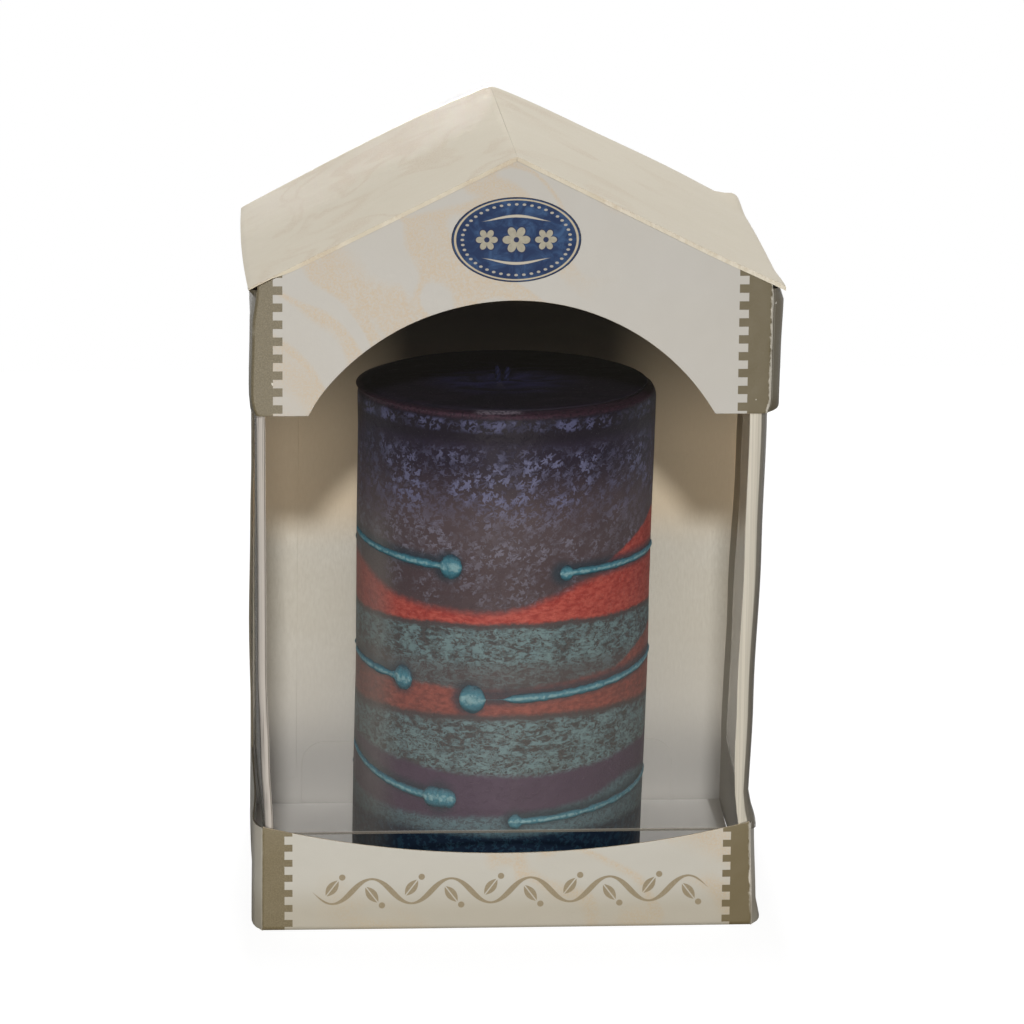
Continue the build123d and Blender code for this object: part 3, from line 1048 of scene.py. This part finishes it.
def make_film():
    reach = film_high.x
    front = film_low.y
    back = film_high.y
    corner = math.pi / 2 * film_corner_radius
    side_run = back - (front + film_corner_radius)
    front_run = reach - film_corner_radius
    bent_run = front_run + corner
    total = bent_run + side_run

    def plan(run):
        """Half the film's line seen from above, from the middle of the front."""
        if run <= front_run:
            return run, front
        if run <= bent_run:
            turn = (run - front_run) / film_corner_radius
            x = front_run + film_corner_radius * math.sin(turn)
            return x, front + film_corner_radius * (1 - math.cos(turn))
        return reach, front + film_corner_radius + run - front_run - corner

    def place(run, z):
        x, y = plan(abs(run))
        x = math.copysign(x, run)
        ripple = film_ripple * noise.noise(Vector((x * 0.03, y * 0.03, z * 0.02)))
        y += ripple if abs(run) < front_run else 0.0
        x, y, z = leaned(x, y, z)
        curl = smooth(run, front_run - 3, bent_run) * smooth(run, total - 30, bent_run + 3)
        x += film_foot_curl * curl * smooth(z, film_low.z + 9, film_low.z + 1)
        return x, y, z

    turns = [front_run + corner * i / 8 for i in range(9)]
    runs = joined(spread(0, front_run, 4), turns, spread(bent_run, total, 5))
    runs = joined(runs, [-run for run in runs])
    heights = joined(spread(film_low.z, film_high.z, 5), [film_low.z + 1, film_low.z + 2.5])
    maker = make_grid(runs, heights, place, to_front, crease_gap=lambda run, z: abs(run) - front_run)
    piece = piece_from(maker, "film_sheet")
    attach(piece, "carton", "window_film", [film_finish()])
    thicken(piece, film_thickness, film_edge_round)


make_film()


# Oval label
label_half_width = (label_high.x - label_low.x) / 2
label_half_height = (label_high.z - label_low.z) / 2
label_centre = (label_high.z + label_low.z) / 2
label_thickness = -half_depth - label_low.y
label_bead_count = 44.0
label_bead_ring = 0.83
rosette_pitch = 7.4
rosette_radius = 3.5
rosette_step_down = 0.75


def label_finish():
    """Deep blue with smoky clouds, a pale ring and dark rim, a bead row and a rosette row."""
    paint = Paint("oval_label")
    x = paint.x
    rise = paint.z - label_centre
    u = x / label_half_width
    v = rise / label_half_height
    reach = paint.distance(u, v)
    smoke = paint.noise(0.2, 5.0, 0.68, 0.8)
    paint.base(paint.smooth(smoke, 0.42, 0.72), seen(16, 38, 74), seen(52, 80, 118))
    silver = seen(178, 172, 160)

    turn = paint.math("ARCTAN2", v, u)
    bead_phase = paint.math("FRACT", turn * (label_bead_count / (2 * math.pi)) + 0.5) - 0.5
    bead_gap = paint.distance(bead_phase * 1.55, (reach - label_bead_ring) * 13.0)
    paint.lay(paint.smooth(bead_gap, 0.42, 0.3) * 0.8, silver)

    cell = paint.math("ROUND", x / rosette_pitch)
    step = x - cell * rosette_pitch
    size = rosette_radius - abs(cell) * rosette_step_down
    turn_here = paint.math("ARCTAN2", rise, step)
    petal = abs(paint.math("COSINE", turn_here * 3.0)) ** 0.6
    gap = paint.distance(step, rise)
    edge = size * (0.42 + petal * 0.58)
    on_row = paint.smooth(abs(x), 11.3, 11.1)
    outline = paint.smooth(gap - edge, 0.42, 0.26) * on_row
    flower = paint.smooth(gap - edge, 0.06, -0.1) * paint.smooth(gap, 0.62, 0.74) * on_row
    paint.lay(outline * 0.85, seen(24, 34, 66))
    rubbed_silver = paint.mix(paint.noise(1.1, 3.0, 0.6), seen(132, 129, 116), seen(172, 167, 152))
    paint.lay(flower, rubbed_silver)

    spray_line = paint.math("COSINE", x * 0.28) * 0.8
    for side in (-1.0, 1.0):
        spray = abs(rise * side - 5.2 - spray_line)
        width = 0.32 * (1.0 - x * x / 64.0)
        paint.lay(paint.smooth(spray - width, 0.1, -0.06), silver)
    paint.lay(paint.inside(reach, 0.925, 0.958, 0.006), seen(176, 166, 146))
    paint.lay(paint.smooth(reach, 0.978, 0.986), seen(38, 42, 56))
    return paint.finish(0.5 + smoke * 0.1, paint.noise(2.5, 3.0, 0.6) * 0.015, specular=0.15)


def make_label():
    def ring(share, lift):
        points = []
        for turn in turns_round(label_corners):
            x = label_half_width * share * math.cos(turn)
            z = label_centre + label_half_height * share * math.sin(turn)
            points.append((leaned(x, gable_surface(x, z) - lift, z), 0.0))
        return points

    rings = [ring(share, 0.0) for share in (0.02, 0.5, 0.98, 0.998)]
    rings += [ring(share, label_thickness) for share in (0.996, 0.985, 0.8, 0.6, 0.4, 0.2, 0.02)]
    piece = piece_from(skin_rings(rings), "oval_label_print")
    attach(piece, "carton", "oval_label", [label_finish()])


make_label()


# Candle drips. Angles are in degrees from the candle's front towards its right, and the bead
# and the ridge are given by their radius. The ridge after a gap starts again at its end.
drip_fields = "name bead_angle bead_height tail_angle tail_height bead ridge stretch gap_end"
Drip = namedtuple("Drip", drip_fields, defaults=(0.0, None))
drips = [
    Drip("upper_left", -24.0, 91.2, -88.0, 93.9, 2.9, 1.1),
    Drip("upper_right", 21.0, 89.5, 88.0, 89.7, 1.8, 1.0),
    Drip("middle_left", -45.0, 59.6, -88.0, 61.3, 2.9, 1.1),
    Drip("middle_right", -15.0, 56.3, 88.0, 61.3, 3.4, 1.15, gap_end=0.0),
    Drip("lower_left", -27.0, 29.0, -88.0, 36.0, 2.3, 1.1, stretch=4.6),
    Drip("lower_right", 3.0, 23.5, 88.0, 28.5, 1.8, 1.0),
]
bend_power = 1.5
sink_share = 0.35
arc_per_degree = candle_radius * math.pi / 180


def drip_height(drip, angle):
    share = max((angle - drip.bead_angle) / (drip.tail_angle - drip.bead_angle), 0.0)
    return drip.bead_height + (drip.tail_height - drip.bead_height) * share**bend_power


def drip_radius(drip, run):
    """The wax's radius at a distance along the drip from its bead."""
    beyond = max(abs(run) - drip.stretch / 2, 0.0)
    bead = math.sqrt(max(drip.bead**2 - beyond**2, 0.0))
    length = abs(drip.tail_angle - drip.bead_angle) * arc_per_degree
    ridge = drip.ridge * (1 - 0.4 * max(run / length, 0.0))
    ridge *= 1 + 0.3 * noise.noise(Vector((run * 0.45, drip.bead_height, 0)))
    ridge *= smooth(run, -0.5, 1.0) * smooth(run, length, length - 3.0)
    if drip.gap_end is not None:
        gap_end = abs(drip.gap_end - drip.bead_angle) * arc_per_degree
        ridge *= smooth(run, gap_end - 2.5, gap_end + 1.0)
    ridge *= 0.75 + 0.25 * smooth(run, drip.bead, drip.bead + 6.0)
    collar = 0.2 * math.exp(-((abs(run) - drip.bead) ** 2) / 1.5) * (ridge > 0.3)
    return (bead**4 + ridge**4) ** 0.25 + collar


def make_drip(drip, turned, name, node):
    direction = math.copysign(1.0, drip.tail_angle - drip.bead_angle)
    front_end = drip.bead + drip.stretch / 2
    length = abs(drip.tail_angle - drip.bead_angle) * arc_per_degree
    runs = joined(spread(-front_end + 0.02, front_end + 3, 0.35), spread(front_end + 3, length - 0.05, 0.9))
    rings = []
    for run in runs:
        radius = max(drip_radius(drip, run), 0.03)
        flatness = 0.8 - 0.3 * smooth(radius, drip.ridge, drip.bead)
        lump = 1 + 0.16 * noise.noise(Vector((run * 0.7, drip.tail_height, 3.0)))
        angle = drip.bead_angle + direction * run / arc_per_degree
        turn = math.radians(angle + turned)
        outward = Vector((math.sin(turn), -math.cos(turn), 0))
        along = Vector((math.cos(turn), math.sin(turn), 0)) * direction
        height_here = drip_height(drip, angle)
        reach_here = candle_radius + between(candle_swell, height_here)
        centre = outward * (reach_here - radius * sink_share)
        centre.x += between(candle_lean, height_here)
        centre.z = height_here
        ahead = drip_height(drip, angle + direction) - centre.z
        along = (along * arc_per_degree + Vector((0, 0, ahead))).normalized()
        side = outward.cross(along).normalized()
        ring = []
        for spin in turns_round(drip_corners):
            rise = math.cos(spin)
            reach = math.sin(spin)
            foot = 0.3 * radius * math.exp(-((rise - sink_share) / 0.28) ** 2)
            height = radius * rise
            if rise > sink_share:
                height = radius * (sink_share + (rise - sink_share) * flatness)
            edge = 1 + 0.12 * noise.noise(Vector((run * 0.8, spin, drip.bead_height)))
            sideways = reach * radius * edge + math.copysign(foot, reach)
            point = centre + outward * height * lump + side * sideways
            ring.append((tuple(point), max((rise - sink_share) / (1 - sink_share), 0.0)))
        rings.append(ring)
    attach(piece_from(skin_rings(rings), name), "candle", node, [drip_wax])


def drip_wax_finish():
    paint = Paint("drip_wax")
    crest = paint.attribute("crest")
    lump = paint.noise(0.8, 3.0, 0.6)
    stain = paint.smooth(paint.noise(0.55, 4.0, 0.7), 0.36, 0.62)
    # Painted shade: each drip is dark at its foot and lighter on its crest.
    paint.base(paint.smooth(crest + stain * 0.25, 0.15, 1.05), seen(18, 44, 58), seen(50, 112, 128))
    paint.lay(stain * 0.45, seen(34, 74, 88))
    # Painted highlight: pale specks on the crests.
    paint.lay(paint.smooth(crest + lump * 0.9, 1.25, 1.5) * 0.6, seen(132, 164, 168))
    return paint.finish(0.46 + lump * 0.16, lump * 0.4 + stain * 0.1, specular=0.3)


drip_wax = drip_wax_finish()
for drip in drips:
    for side, turned in (("front", 0.0), ("back", 180.0)):
        make_drip(drip, turned, f"{side}_{drip.name}_drip", f"{side}_{drip.name}_wax_drip")


# Candle skin. Each line between two bands is given by (angle, height) points round the front,
# and the back repeats it.
red_one_top = [
    (-90, 88.5), (-74, 86.7), (-45, 81.0), (-26, 79.4), (0, 79.8),
    (16, 83.0), (34, 87.0), (55, 88.4), (90, 88.5)]
red_one_bottom = [(-90, 75.4), (-60, 75.2), (-20, 76.4), (30, 76.8), (70, 76.0), (90, 75.4)]
red_two_top = [(-90, 62.5), (-50, 59.8), (0, 59.0), (25, 60.5), (60, 62.0), (90, 62.5)]
red_two_bottom = [(-90, 49.9), (-45, 51.2), (0, 52.3), (40, 52.0), (90, 49.9)]
teal_two_bottom = [(-90, 39.8), (-60, 38.6), (-20, 36.2), (20, 36.2), (60, 38.6), (90, 39.8)]
plum_low_bottom = [(-90, 27.0), (-60, 24.0), (0, 25.0), (30, 27.4), (60, 31.4), (90, 27.0)]
upper_wedge_top = [(-90, 90.0), (30, 88.0), (44, 91.6), (68, 98.0), (82, 100.0), (90, 92.0)]
middle_wedge_top = [(-90, 62.0), (36, 58.0), (50, 62.6), (72, 67.6), (83, 68.6), (90, 62.0)]
curve_top = 140.0


def frost_flakes(paint, stretch, cell_size):
    """Ragged frost stars: one in each cell, measured along the candle's surface."""
    x, y = paint.x, paint.y
    z = paint.z * stretch
    jitter = paint.noise(0.5, 2.0, 0.55)
    jitter_two = paint.noise(0.5, 2.0, 0.55, at=paint.vector(y + 31.0, z, x))
    bent = paint.vector(x + jitter * 4.0, y + jitter_two * 4.0, z + jitter * 3.0 + jitter_two * 3.0)
    cells = paint.node("ShaderNodeTexVoronoi")
    paint.put(cells.inputs["Vector"], bent)
    cells.inputs["Scale"].default_value = 1 / cell_size
    offset = paint.node("ShaderNodeVectorMath")
    offset.operation = "SUBTRACT"
    paint.put(offset.inputs[0], bent)
    paint.put(offset.inputs[1], cells.outputs["Position"])
    off_x, off_y, off_z = paint.parts(offset.outputs[0])
    across = (off_y * x - off_x * y) / candle_radius
    chance = Term(paint, cells.outputs["Color"])
    arm = paint.math("ARCTAN2", off_z, across) + chance * 6.0
    ragged = paint.noise(1.1, 4.0, 0.75)
    reach = 0.25 + abs(paint.math("COSINE", arm * 2.5)) ** 1.3
    size = cell_size * (0.12 + chance * 0.3) * (0.2 + ragged * 1.7)
    return paint.smooth(paint.distance(across, off_z) - reach * size, 0.3, -0.14)


def shaded_beside_drips(paint, turn):
    """1 in the painted shade that rings each bead and runs along each drip's upper side."""
    shades = []
    for drip in drips:
        share = (turn - drip.bead_angle) / (drip.tail_angle - drip.bead_angle)
        ahead = paint.most(share, 0.0)
        line = ahead**bend_power * (drip.tail_height - drip.bead_height) + drip.bead_height
        beside = paint.inside(paint.z - line, -drip.ridge * 1.3, drip.ridge * 2.4, 1.3)
        arc = (turn - drip.bead_angle) * arc_per_degree
        from_bead = paint.distance(arc, paint.z - drip.bead_height)
        around = paint.smooth(from_bead, drip.bead + drip.stretch * 0.3 + 2.6, drip.bead * 0.9)
        shades += [beside * paint.smooth(share, 0.0, 0.03), around]
    return paint.most(*shades)


class SkinPaint(Paint):
    """Dip-dyed bands of plum, red and teal with frosted marks, laid out by angle and height."""

    def __init__(self):
        super().__init__("dyed_wax")
        self.angle = self.math("ARCTAN2", self.x, self.y * -1.0) * (180 / math.pi)
        self.turn = self.math("WRAP", self.angle, 90.0, -90.0)
        wave = (self.noise(0.09, 3.0, 0.55) - 0.5) * 1.6
        fray = (self.noise(0.7, 3.0, 0.6) - 0.5) * 1.4
        self.level = self.z + wave + fray
        self.clump = self.noise(0.17, 2.0, 0.5)
        self.fine = self.noise(1.7, 3.0, 0.65)
        self.flakes = frost_flakes(self, 1.25, 2.7)
        self.large_flakes = frost_flakes(self, 1.1, 3.7)
        ridges = self.noise(0.55, 3.0, 0.6, 1.1, at=self.drawn_out(1.7))
        self.strand = self.smooth(abs(ridges - 0.5), 0.065, 0.02)
        self.on_top = self.smooth(self.z, candle_top - 1.2, candle_top - 0.5)

    def drawn_out(self, squeeze, shift=0.0):
        """Places squeezed in height, so that a noise there is drawn out round the candle."""
        return self.vector(self.x, self.y + shift if shift else self.y, self.z * squeeze)

    def line(self, points):
        """A height that changes round the candle, through (angle, height) points."""
        return self.curve(self.turn, points, -90, 90, curve_top)

    def below(self, limit, soft=0.6):
        return self.smooth(self.level - limit, soft, -soft)

    def clumped(self, first, second):
        return self.mix(self.clump, first, second)

    def mottled(self):
        """Teal marks brushed over a dark ground."""
        blots = self.noise(0.34, 4.0, 0.66, 1.2, at=self.drawn_out(1.9))
        marks = self.most(self.flakes * 0.5, self.strand * 0.8, self.smooth(blots, 0.49, 0.56))
        brushed = self.noise(0.36, 3.0, 0.6, 0.6, at=self.drawn_out(2.2, 23.0))
        marks = marks * self.smooth(self.clump * 0.6 + brushed, 0.64, 0.82)
        ground = self.mix(self.smooth(self.fine, 0.3, 0.7), seen(46, 50, 54), seen(68, 64, 64))
        return self.mix(marks * 0.8, ground, self.clumped(seen(92, 120, 128), seen(112, 136, 138)))

    def red(self, dull, bright):
        streak = self.noise(0.5, 4.0, 0.65, at=self.drawn_out(2.0))
        return self.mix(self.smooth(streak, 0.35, 0.66), dull, bright)

    def lay_plum(self):
        upper_plum = self.clumped(seen(20, 16, 32), seen(35, 27, 41))
        lower_plum = self.clumped(seen(64, 54, 59), seen(75, 64, 67))
        lower_plum = self.mix(self.smooth(self.z, 98.0, 88.0) * 0.8, lower_plum, seen(61, 48, 52))
        self.base(self.smooth(self.z, 121.0, 102.0), upper_plum, lower_plum)
        self.lay(self.smooth(self.z, 123.0, 126.0), seen(18, 12, 24))

    def lay_frost(self):
        """Stars over the plum, dense above and sparse below, and a row of them at the rim."""
        high_up = self.smooth(self.z, 98.0, 110.0)
        central = self.smooth(abs(self.turn + 4.0), 66.0, 20.0) * 0.06
        gaps = self.smooth(self.noise(0.13, 2.0, 0.5, at=self.drawn_out(0.8)) + central, 0.44, 0.60)
        dense = self.inside(self.level, 92.0, 122.0, 2.5) * (0.36 + gaps * 0.64)
        sparse = self.inside(self.level, 81.0, 93.0, 2.5) * (0.06 + gaps * 0.6)
        stars = self.most(self.large_flakes * (0.3 + high_up * 0.7), self.flakes * (1 - high_up * 0.6))
        frost = stars * self.most(dense, sparse) * self.smooth(self.fine, 0.15, 0.45)
        lavender = self.mix(high_up, seen(106, 102, 112), seen(88, 90, 122))
        lavender = self.mix(self.fine * 0.5, lavender, seen(120, 122, 148))
        self.lay(frost * 0.8, lavender)
        rim_row = self.inside(self.z, 127.0, 130.0, 0.6)
        rim_row = rim_row * (0.25 + self.smooth(self.clump, 0.42, 0.58) * 0.75)
        self.lay(self.most(self.large_flakes, self.flakes) * rim_row * 0.75, seen(84, 86, 118))

    def lay_bands(self):
        """From the upper red band down: each band covers all that lies below its upper line."""
        mottled = self.mottled()
        shade = seen(64, 56, 58)
        wedge = self.below(self.line(upper_wedge_top)) * (1 - self.below(90.6, 0.5))
        bright_red = self.red(seen(136, 46, 42), seen(168, 76, 66))
        self.lay(self.most(self.below(self.line(red_one_top), 1.6), wedge), bright_red)
        bottom_one = self.line(red_one_bottom)
        self.lay(self.below(bottom_one), shade)
        self.lay(self.below(bottom_one - 1.4), mottled)
        self.lay(self.below(65.5, 2.4) * 0.6, seen(70, 60, 62))
        wedge = self.below(self.line(middle_wedge_top)) * self.smooth(self.turn, 36.0, 46.0)
        dull_red = self.red(seen(104, 56, 52), seen(134, 72, 64))
        self.lay(self.most(self.below(self.line(red_two_top), 0.9), wedge), dull_red)
        bottom_two = self.line(red_two_bottom)
        self.lay(self.below(bottom_two, 0.8), shade)
        self.lay(self.below(bottom_two - 1.6, 0.8), mottled)
        purple = self.clumped(seen(60, 46, 64), seen(72, 57, 74))
        self.lay(self.below(self.line(teal_two_bottom), 1.0), purple)
        veined = self.most(self.flakes, self.strand) * 0.7
        grey_teal = self.mix(veined, seen(60, 72, 79), seen(84, 110, 118))
        self.lay(self.below(self.line(plum_low_bottom), 1.2), grey_teal)
        navy = self.mix(self.flakes * 0.7, seen(26, 40, 58), seen(44, 74, 92))
        self.lay(self.below(19.5, 1.2), navy)

    def lay_top(self):
        """The plum rim, the violet top and a painted highlight in an arc at the front of the rim."""
        rim = self.inside(self.z, candle_top - 2.4, candle_top - 0.9, 0.5)
        self.lay(rim * self.smooth(self.fine, 0.3, 0.6) * 0.8, seen(64, 42, 54))
        swirl = self.noise(0.12, 4.0, 0.6, 1.5, at=self.vector(self.x * 0.5, self.y, self.z))
        near_wicks = self.smooth(self.distance(self.x, self.y), 24.0, 6.0)
        violet = self.mix(near_wicks, seen(34, 26, 40), seen(50, 48, 90))
        self.lay(self.on_top, self.mix(self.smooth(swirl, 0.35, 0.7), seen(24, 21, 33), violet))
        # Painted highlight along the front of the rim.
        arc = self.inside(self.angle, -13.0, 4.0, 3.0)
        arc = arc * self.inside(self.z, candle_top - 1.3, candle_top - 0.6, 0.2)
        self.lay(arc * self.smooth(self.fine, 0.35, 0.6) * 0.6, seen(132, 124, 136))


def skin_finish():
    paint = SkinPaint()
    paint.lay_plum()
    paint.lay_frost()
    paint.lay_bands()
    # Painted shade round the beads and along the drips.
    paint.lay(shaded_beside_drips(paint, paint.turn) * (0.74 + paint.fine * 0.24), seen(32, 46, 56))
    # Painted reflection of the film: a pale grey veil on the candle's left flank below the upper band, and
    # at the same place round the back.
    film_reflection_veil = paint.smooth(paint.turn, -44.0, -62.0) * paint.smooth(paint.z, 108.0, 90.0)
    paint.lay(film_reflection_veil * (0.26 + paint.clump * 0.2), seen(122, 120, 114))
    paint.lay_top()
    lumps = paint.noise(0.16, 3.0, 0.5) * 0.35 + paint.fine * 0.05 + paint.flakes * 0.06
    return paint.finish(0.42 + paint.fine * 0.14 + paint.on_top * 0.25, lumps, specular=0.12)


def skin_profile(inner_radius):
    """The skin's half section, from the middle of its top down its wall and back up inside it."""
    wall_low = candle_base + foot_radius
    wall_high = candle_top - shoulder_radius
    inner_top = candle_top - dip_thickness
    profile = [(0.3, candle_top - top_sink), (6, candle_top - top_sink), (14, candle_top - 0.4)]
    profile += [(radius, candle_top - 0.3 * smooth(radius, 36, 20)) for radius in (20, 25, 29, 32)]
    shoulder_steps = 10
    for i in range(shoulder_steps + 1):
        turn = math.pi / 2 * i / shoulder_steps
        inset = shoulder_radius * (1 - math.sin(turn))
        profile.append((candle_radius - inset, wall_high + shoulder_radius * math.cos(turn)))
    profile += [(candle_radius, height) for height in reversed(spread(wall_low, wall_high, 1.6)[:-1])]
    foot_steps = 3
    for i in range(1, foot_steps + 1):
        turn = math.pi / 2 * i / foot_steps
        inset = foot_radius * (1 - math.cos(turn))
        profile.append((candle_radius - inset, wall_low - foot_radius * math.sin(turn)))
    return profile + [(inner_radius, candle_base), (inner_radius, inner_top), (1.0, inner_top)]


def make_skin():
    inner_radius = candle_radius - dip_thickness
    rings = []
    for radius, height in skin_profile(inner_radius):
        on_top = height > candle_top - 0.6
        on_wall = radius > inner_radius + 0.5 and not on_top
        shift = between(candle_lean, height) if on_wall or on_top else 0.0
        grown = 0.0
        if radius > inner_radius or on_top:
            grown = between(candle_swell, height) * radius / candle_radius
        ring = []
        for turn in turns_round(skin_corners):
            spot = Vector((math.cos(turn), math.sin(turn), height * 0.03)) * 1.4
            uneven = wall_unevenness * noise.noise(spot) if on_wall else 0.0
            reach = radius + grown - abs(uneven)
            x, y = reach * math.cos(turn), reach * math.sin(turn)
            dent = top_unevenness * noise.noise(Vector((x, y, 0)) * 0.09)
            sink = abs(dent) if on_top else 0.0
            ring.append(((x + shift, y, height - sink), 0.0))
        rings.append(ring)
    piece = piece_from(skin_rings(rings), "dyed_skin")
    attach(piece, "candle", "candle_skin", [skin_finish()])
    edges = piece.modifiers.new("shading", "WEIGHTED_NORMAL")
    edges.keep_sharp = True


make_skin()


# Core and wicks
def core_finish():
    paint = Paint("core_wax")
    cloud = paint.noise(0.12, 4.0, 0.6)
    paint.base(cloud, seen(70, 48, 72), seen(100, 74, 98))
    return paint.finish(0.5 + cloud * 0.1, cloud * 0.2, specular=0.3)


def wick_finish():
    paint = Paint("wick_cotton")
    fibre = paint.noise(4.0, 4.0, 0.7, at=paint.vector(paint.x, paint.y, paint.z * 0.4))
    crest = paint.attribute("crest")
    # Painted shade: darker in the grooves between the twisted strands.
    paint.base(paint.smooth(crest + fibre * 0.4, 0.3, 1.0), seen(16, 15, 30), seen(34, 36, 66))
    return paint.finish(0.7 + fibre * 0.2, fibre * 0.12, specular=0.1)


def make_wick(centre_x, centre_y, node, material):
    top = wick_high.z
    heights = joined(spread(wick_low.z, candle_top - 3, 1.2), spread(candle_top - 3, top, 0.25))
    rings = []
    for height in heights:
        end = smooth(height, top + 0.05, top - 0.7)
        bend = 0.35 * smooth(height, candle_top, top)
        ring = []
        for turn in turns_round(wick_corners):
            strand = abs(math.cos(wick_strands / 2 * (turn - 2 * math.pi * height / wick_lay)))
            radius = wick_radius * (0.8 + 0.2 * strand**0.5) * (0.35 + 0.65 * end)
            x = centre_x * (1 + bend * 0.6) + radius * math.cos(turn)
            y = centre_y * (1 + bend * 0.6) + radius * math.sin(turn)
            ring.append(((x, y, height), strand))
        rings.append(ring)
    attach(piece_from(skin_rings(rings), node + "_cord"), "candle", node, [material])


cotton = wick_finish()
for i in range(wick_count):
    turn = 2 * math.pi * i / wick_count
    make_wick(wick_ring_radius * math.cos(turn), wick_ring_radius * math.sin(turn), f"wick_{i + 1}", cotton)

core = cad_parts["candle_core"]
core.data.materials.clear()
core.data.materials.append(core_finish())


# Floor, light and background
def floor_finish():
    paint = Paint("floor")
    path = paint.node("ShaderNodeLightPath")
    grain = paint.noise(0.01, 2.0, 0.5)
    paint.base(grain, (0.16, 0.16, 0.16), (0.20, 0.20, 0.20))
    paint.put(paint.shader.inputs["Emission Color"], (1.0, 1.0, 1.0))
    paint.put(paint.shader.inputs["Emission Strength"], Term(paint, path.outputs["Is Camera Ray"]) * 0.9)
    return paint.finish(0.9, specular=0.1)


floor_half_width = 420.0
floor_front = -420.0
floor_back = 620.0
maker = make_grid([-floor_half_width, floor_half_width], [floor_front, floor_back],
                  lambda x, y: (x, y, 0), to_sky)
floor = piece_from(maker, "floor")
floor.data.materials.append(floor_finish())

key_energy = 1.52
roof_energy = 18.5
left_energy = 1.5
right_energy = 2.6
low_energy = 1.95
back_energy = 1.0
ambient = 0.02

white = (1.0, 1.0, 1.0)
low_light_color = (1.0, 0.94, 0.84)

world = bpy.data.worlds.new("studio")
bpy.context.scene.world = world
world.use_nodes = True
tree = world.node_tree
tree.nodes.clear()
path = tree.nodes.new("ShaderNodeLightPath")
shown = path.outputs["Is Camera Ray"]
for kind in ("Is Transmission Ray", "Is Glossy Ray"):
    either = tree.nodes.new("ShaderNodeMath")
    either.operation = "MAXIMUM"
    tree.links.new(shown, either.inputs[0])
    tree.links.new(path.outputs[kind], either.inputs[1])
    shown = either.outputs[0]
backdrops = []
for strength in (ambient, 1.0):
    backdrop = tree.nodes.new("ShaderNodeBackground")
    backdrop.inputs["Color"].default_value = (*white, 1.0)
    backdrop.inputs["Strength"].default_value = strength
    backdrops.append(backdrop)
blend = tree.nodes.new("ShaderNodeMixShader")
tree.links.new(shown, blend.inputs[0])
tree.links.new(backdrops[0].outputs[0], blend.inputs[1])
tree.links.new(backdrops[1].outputs[0], blend.inputs[2])
world_output = tree.nodes.new("ShaderNodeOutputWorld")
tree.links.new(blend.outputs[0], world_output.inputs[0])


def add_lamp(name, kind, energy, place, toward):
    """A lamp at a place in metres, aimed along a direction."""
    data = bpy.data.lights.new(name, kind)
    data.energy = energy
    lamp = bpy.data.objects.new(name, data)
    bpy.context.scene.collection.objects.link(lamp)
    lamp.location = place
    lamp.rotation_mode = "QUATERNION"
    lamp.rotation_quaternion = Vector(toward).to_track_quat("-Z", "Y")
    return data


def add_panel(name, width, height, energy, place, toward, color=white):
    data = add_lamp(name, "AREA", energy, place, toward)
    data.shape = "RECTANGLE"
    data.size = width
    data.size_y = height
    data.color = color


key_light = add_lamp("key", "SUN", key_energy, (0, -1, 1), (0.051, 1.0, -0.5))
key_light.angle = math.radians(3.5)
add_panel("roof_panel_light", 0.14, 0.8, roof_energy, (0, 0.45, 1.6), (0, -0.45, -1.6))
add_panel("left_panel_light", 0.8, 0.8, left_energy, (-1.5, -0.6, 0.5), (1.5, 0.6, -0.4))
add_panel("right_panel_light", 0.8, 0.8, right_energy, (1.5, -0.6, 0.5), (-1.5, 0.6, -0.4))
# Level light from behind reaches only the back of the carton, and lays no shadow on the floor.
back_light = add_lamp("back", "SUN", back_energy, (0, 1, 0.1), (0, -1, 0))
back_light.angle = math.radians(0.5)
low_place = (-0.05, -0.6, 0.04)
add_panel("low_panel_light", 0.36, 0.08, low_energy, low_place, (0.05, 0.6, 0.08), low_light_color)

# Camera, from the photograph's perspective
camera_focal = 187.676
camera_place = Vector((-88.945, -1362.191, 432.129))
camera_yaw = math.radians(3.871)
camera_pitch = math.radians(13.797)
camera_roll = math.radians(0.509)

camera_data = bpy.data.cameras.new("camera")
camera_data.sensor_width = 36.0
camera_data.lens = camera_focal
camera_data.clip_start = 0.05
camera_data.clip_end = 60.0
camera = bpy.data.objects.new("camera", camera_data)
bpy.context.scene.collection.objects.link(camera)
forward = Vector((
    math.sin(camera_yaw) * math.cos(camera_pitch),
    math.cos(camera_yaw) * math.cos(camera_pitch),
    -math.sin(camera_pitch),
))
level_right = Vector((math.cos(camera_yaw), -math.sin(camera_yaw), 0))
level_up = level_right.cross(forward)
right = level_right * math.cos(camera_roll) + level_up * math.sin(camera_roll)
up = level_up * math.cos(camera_roll) - level_right * math.sin(camera_roll)
turned = Matrix((right, up, -forward)).transposed().to_4x4()
camera.matrix_world = Matrix.Translation(camera_place * MM) @ turned
bpy.context.scene.camera = camera
bpy.context.scene.view_settings.view_transform = "Standard"
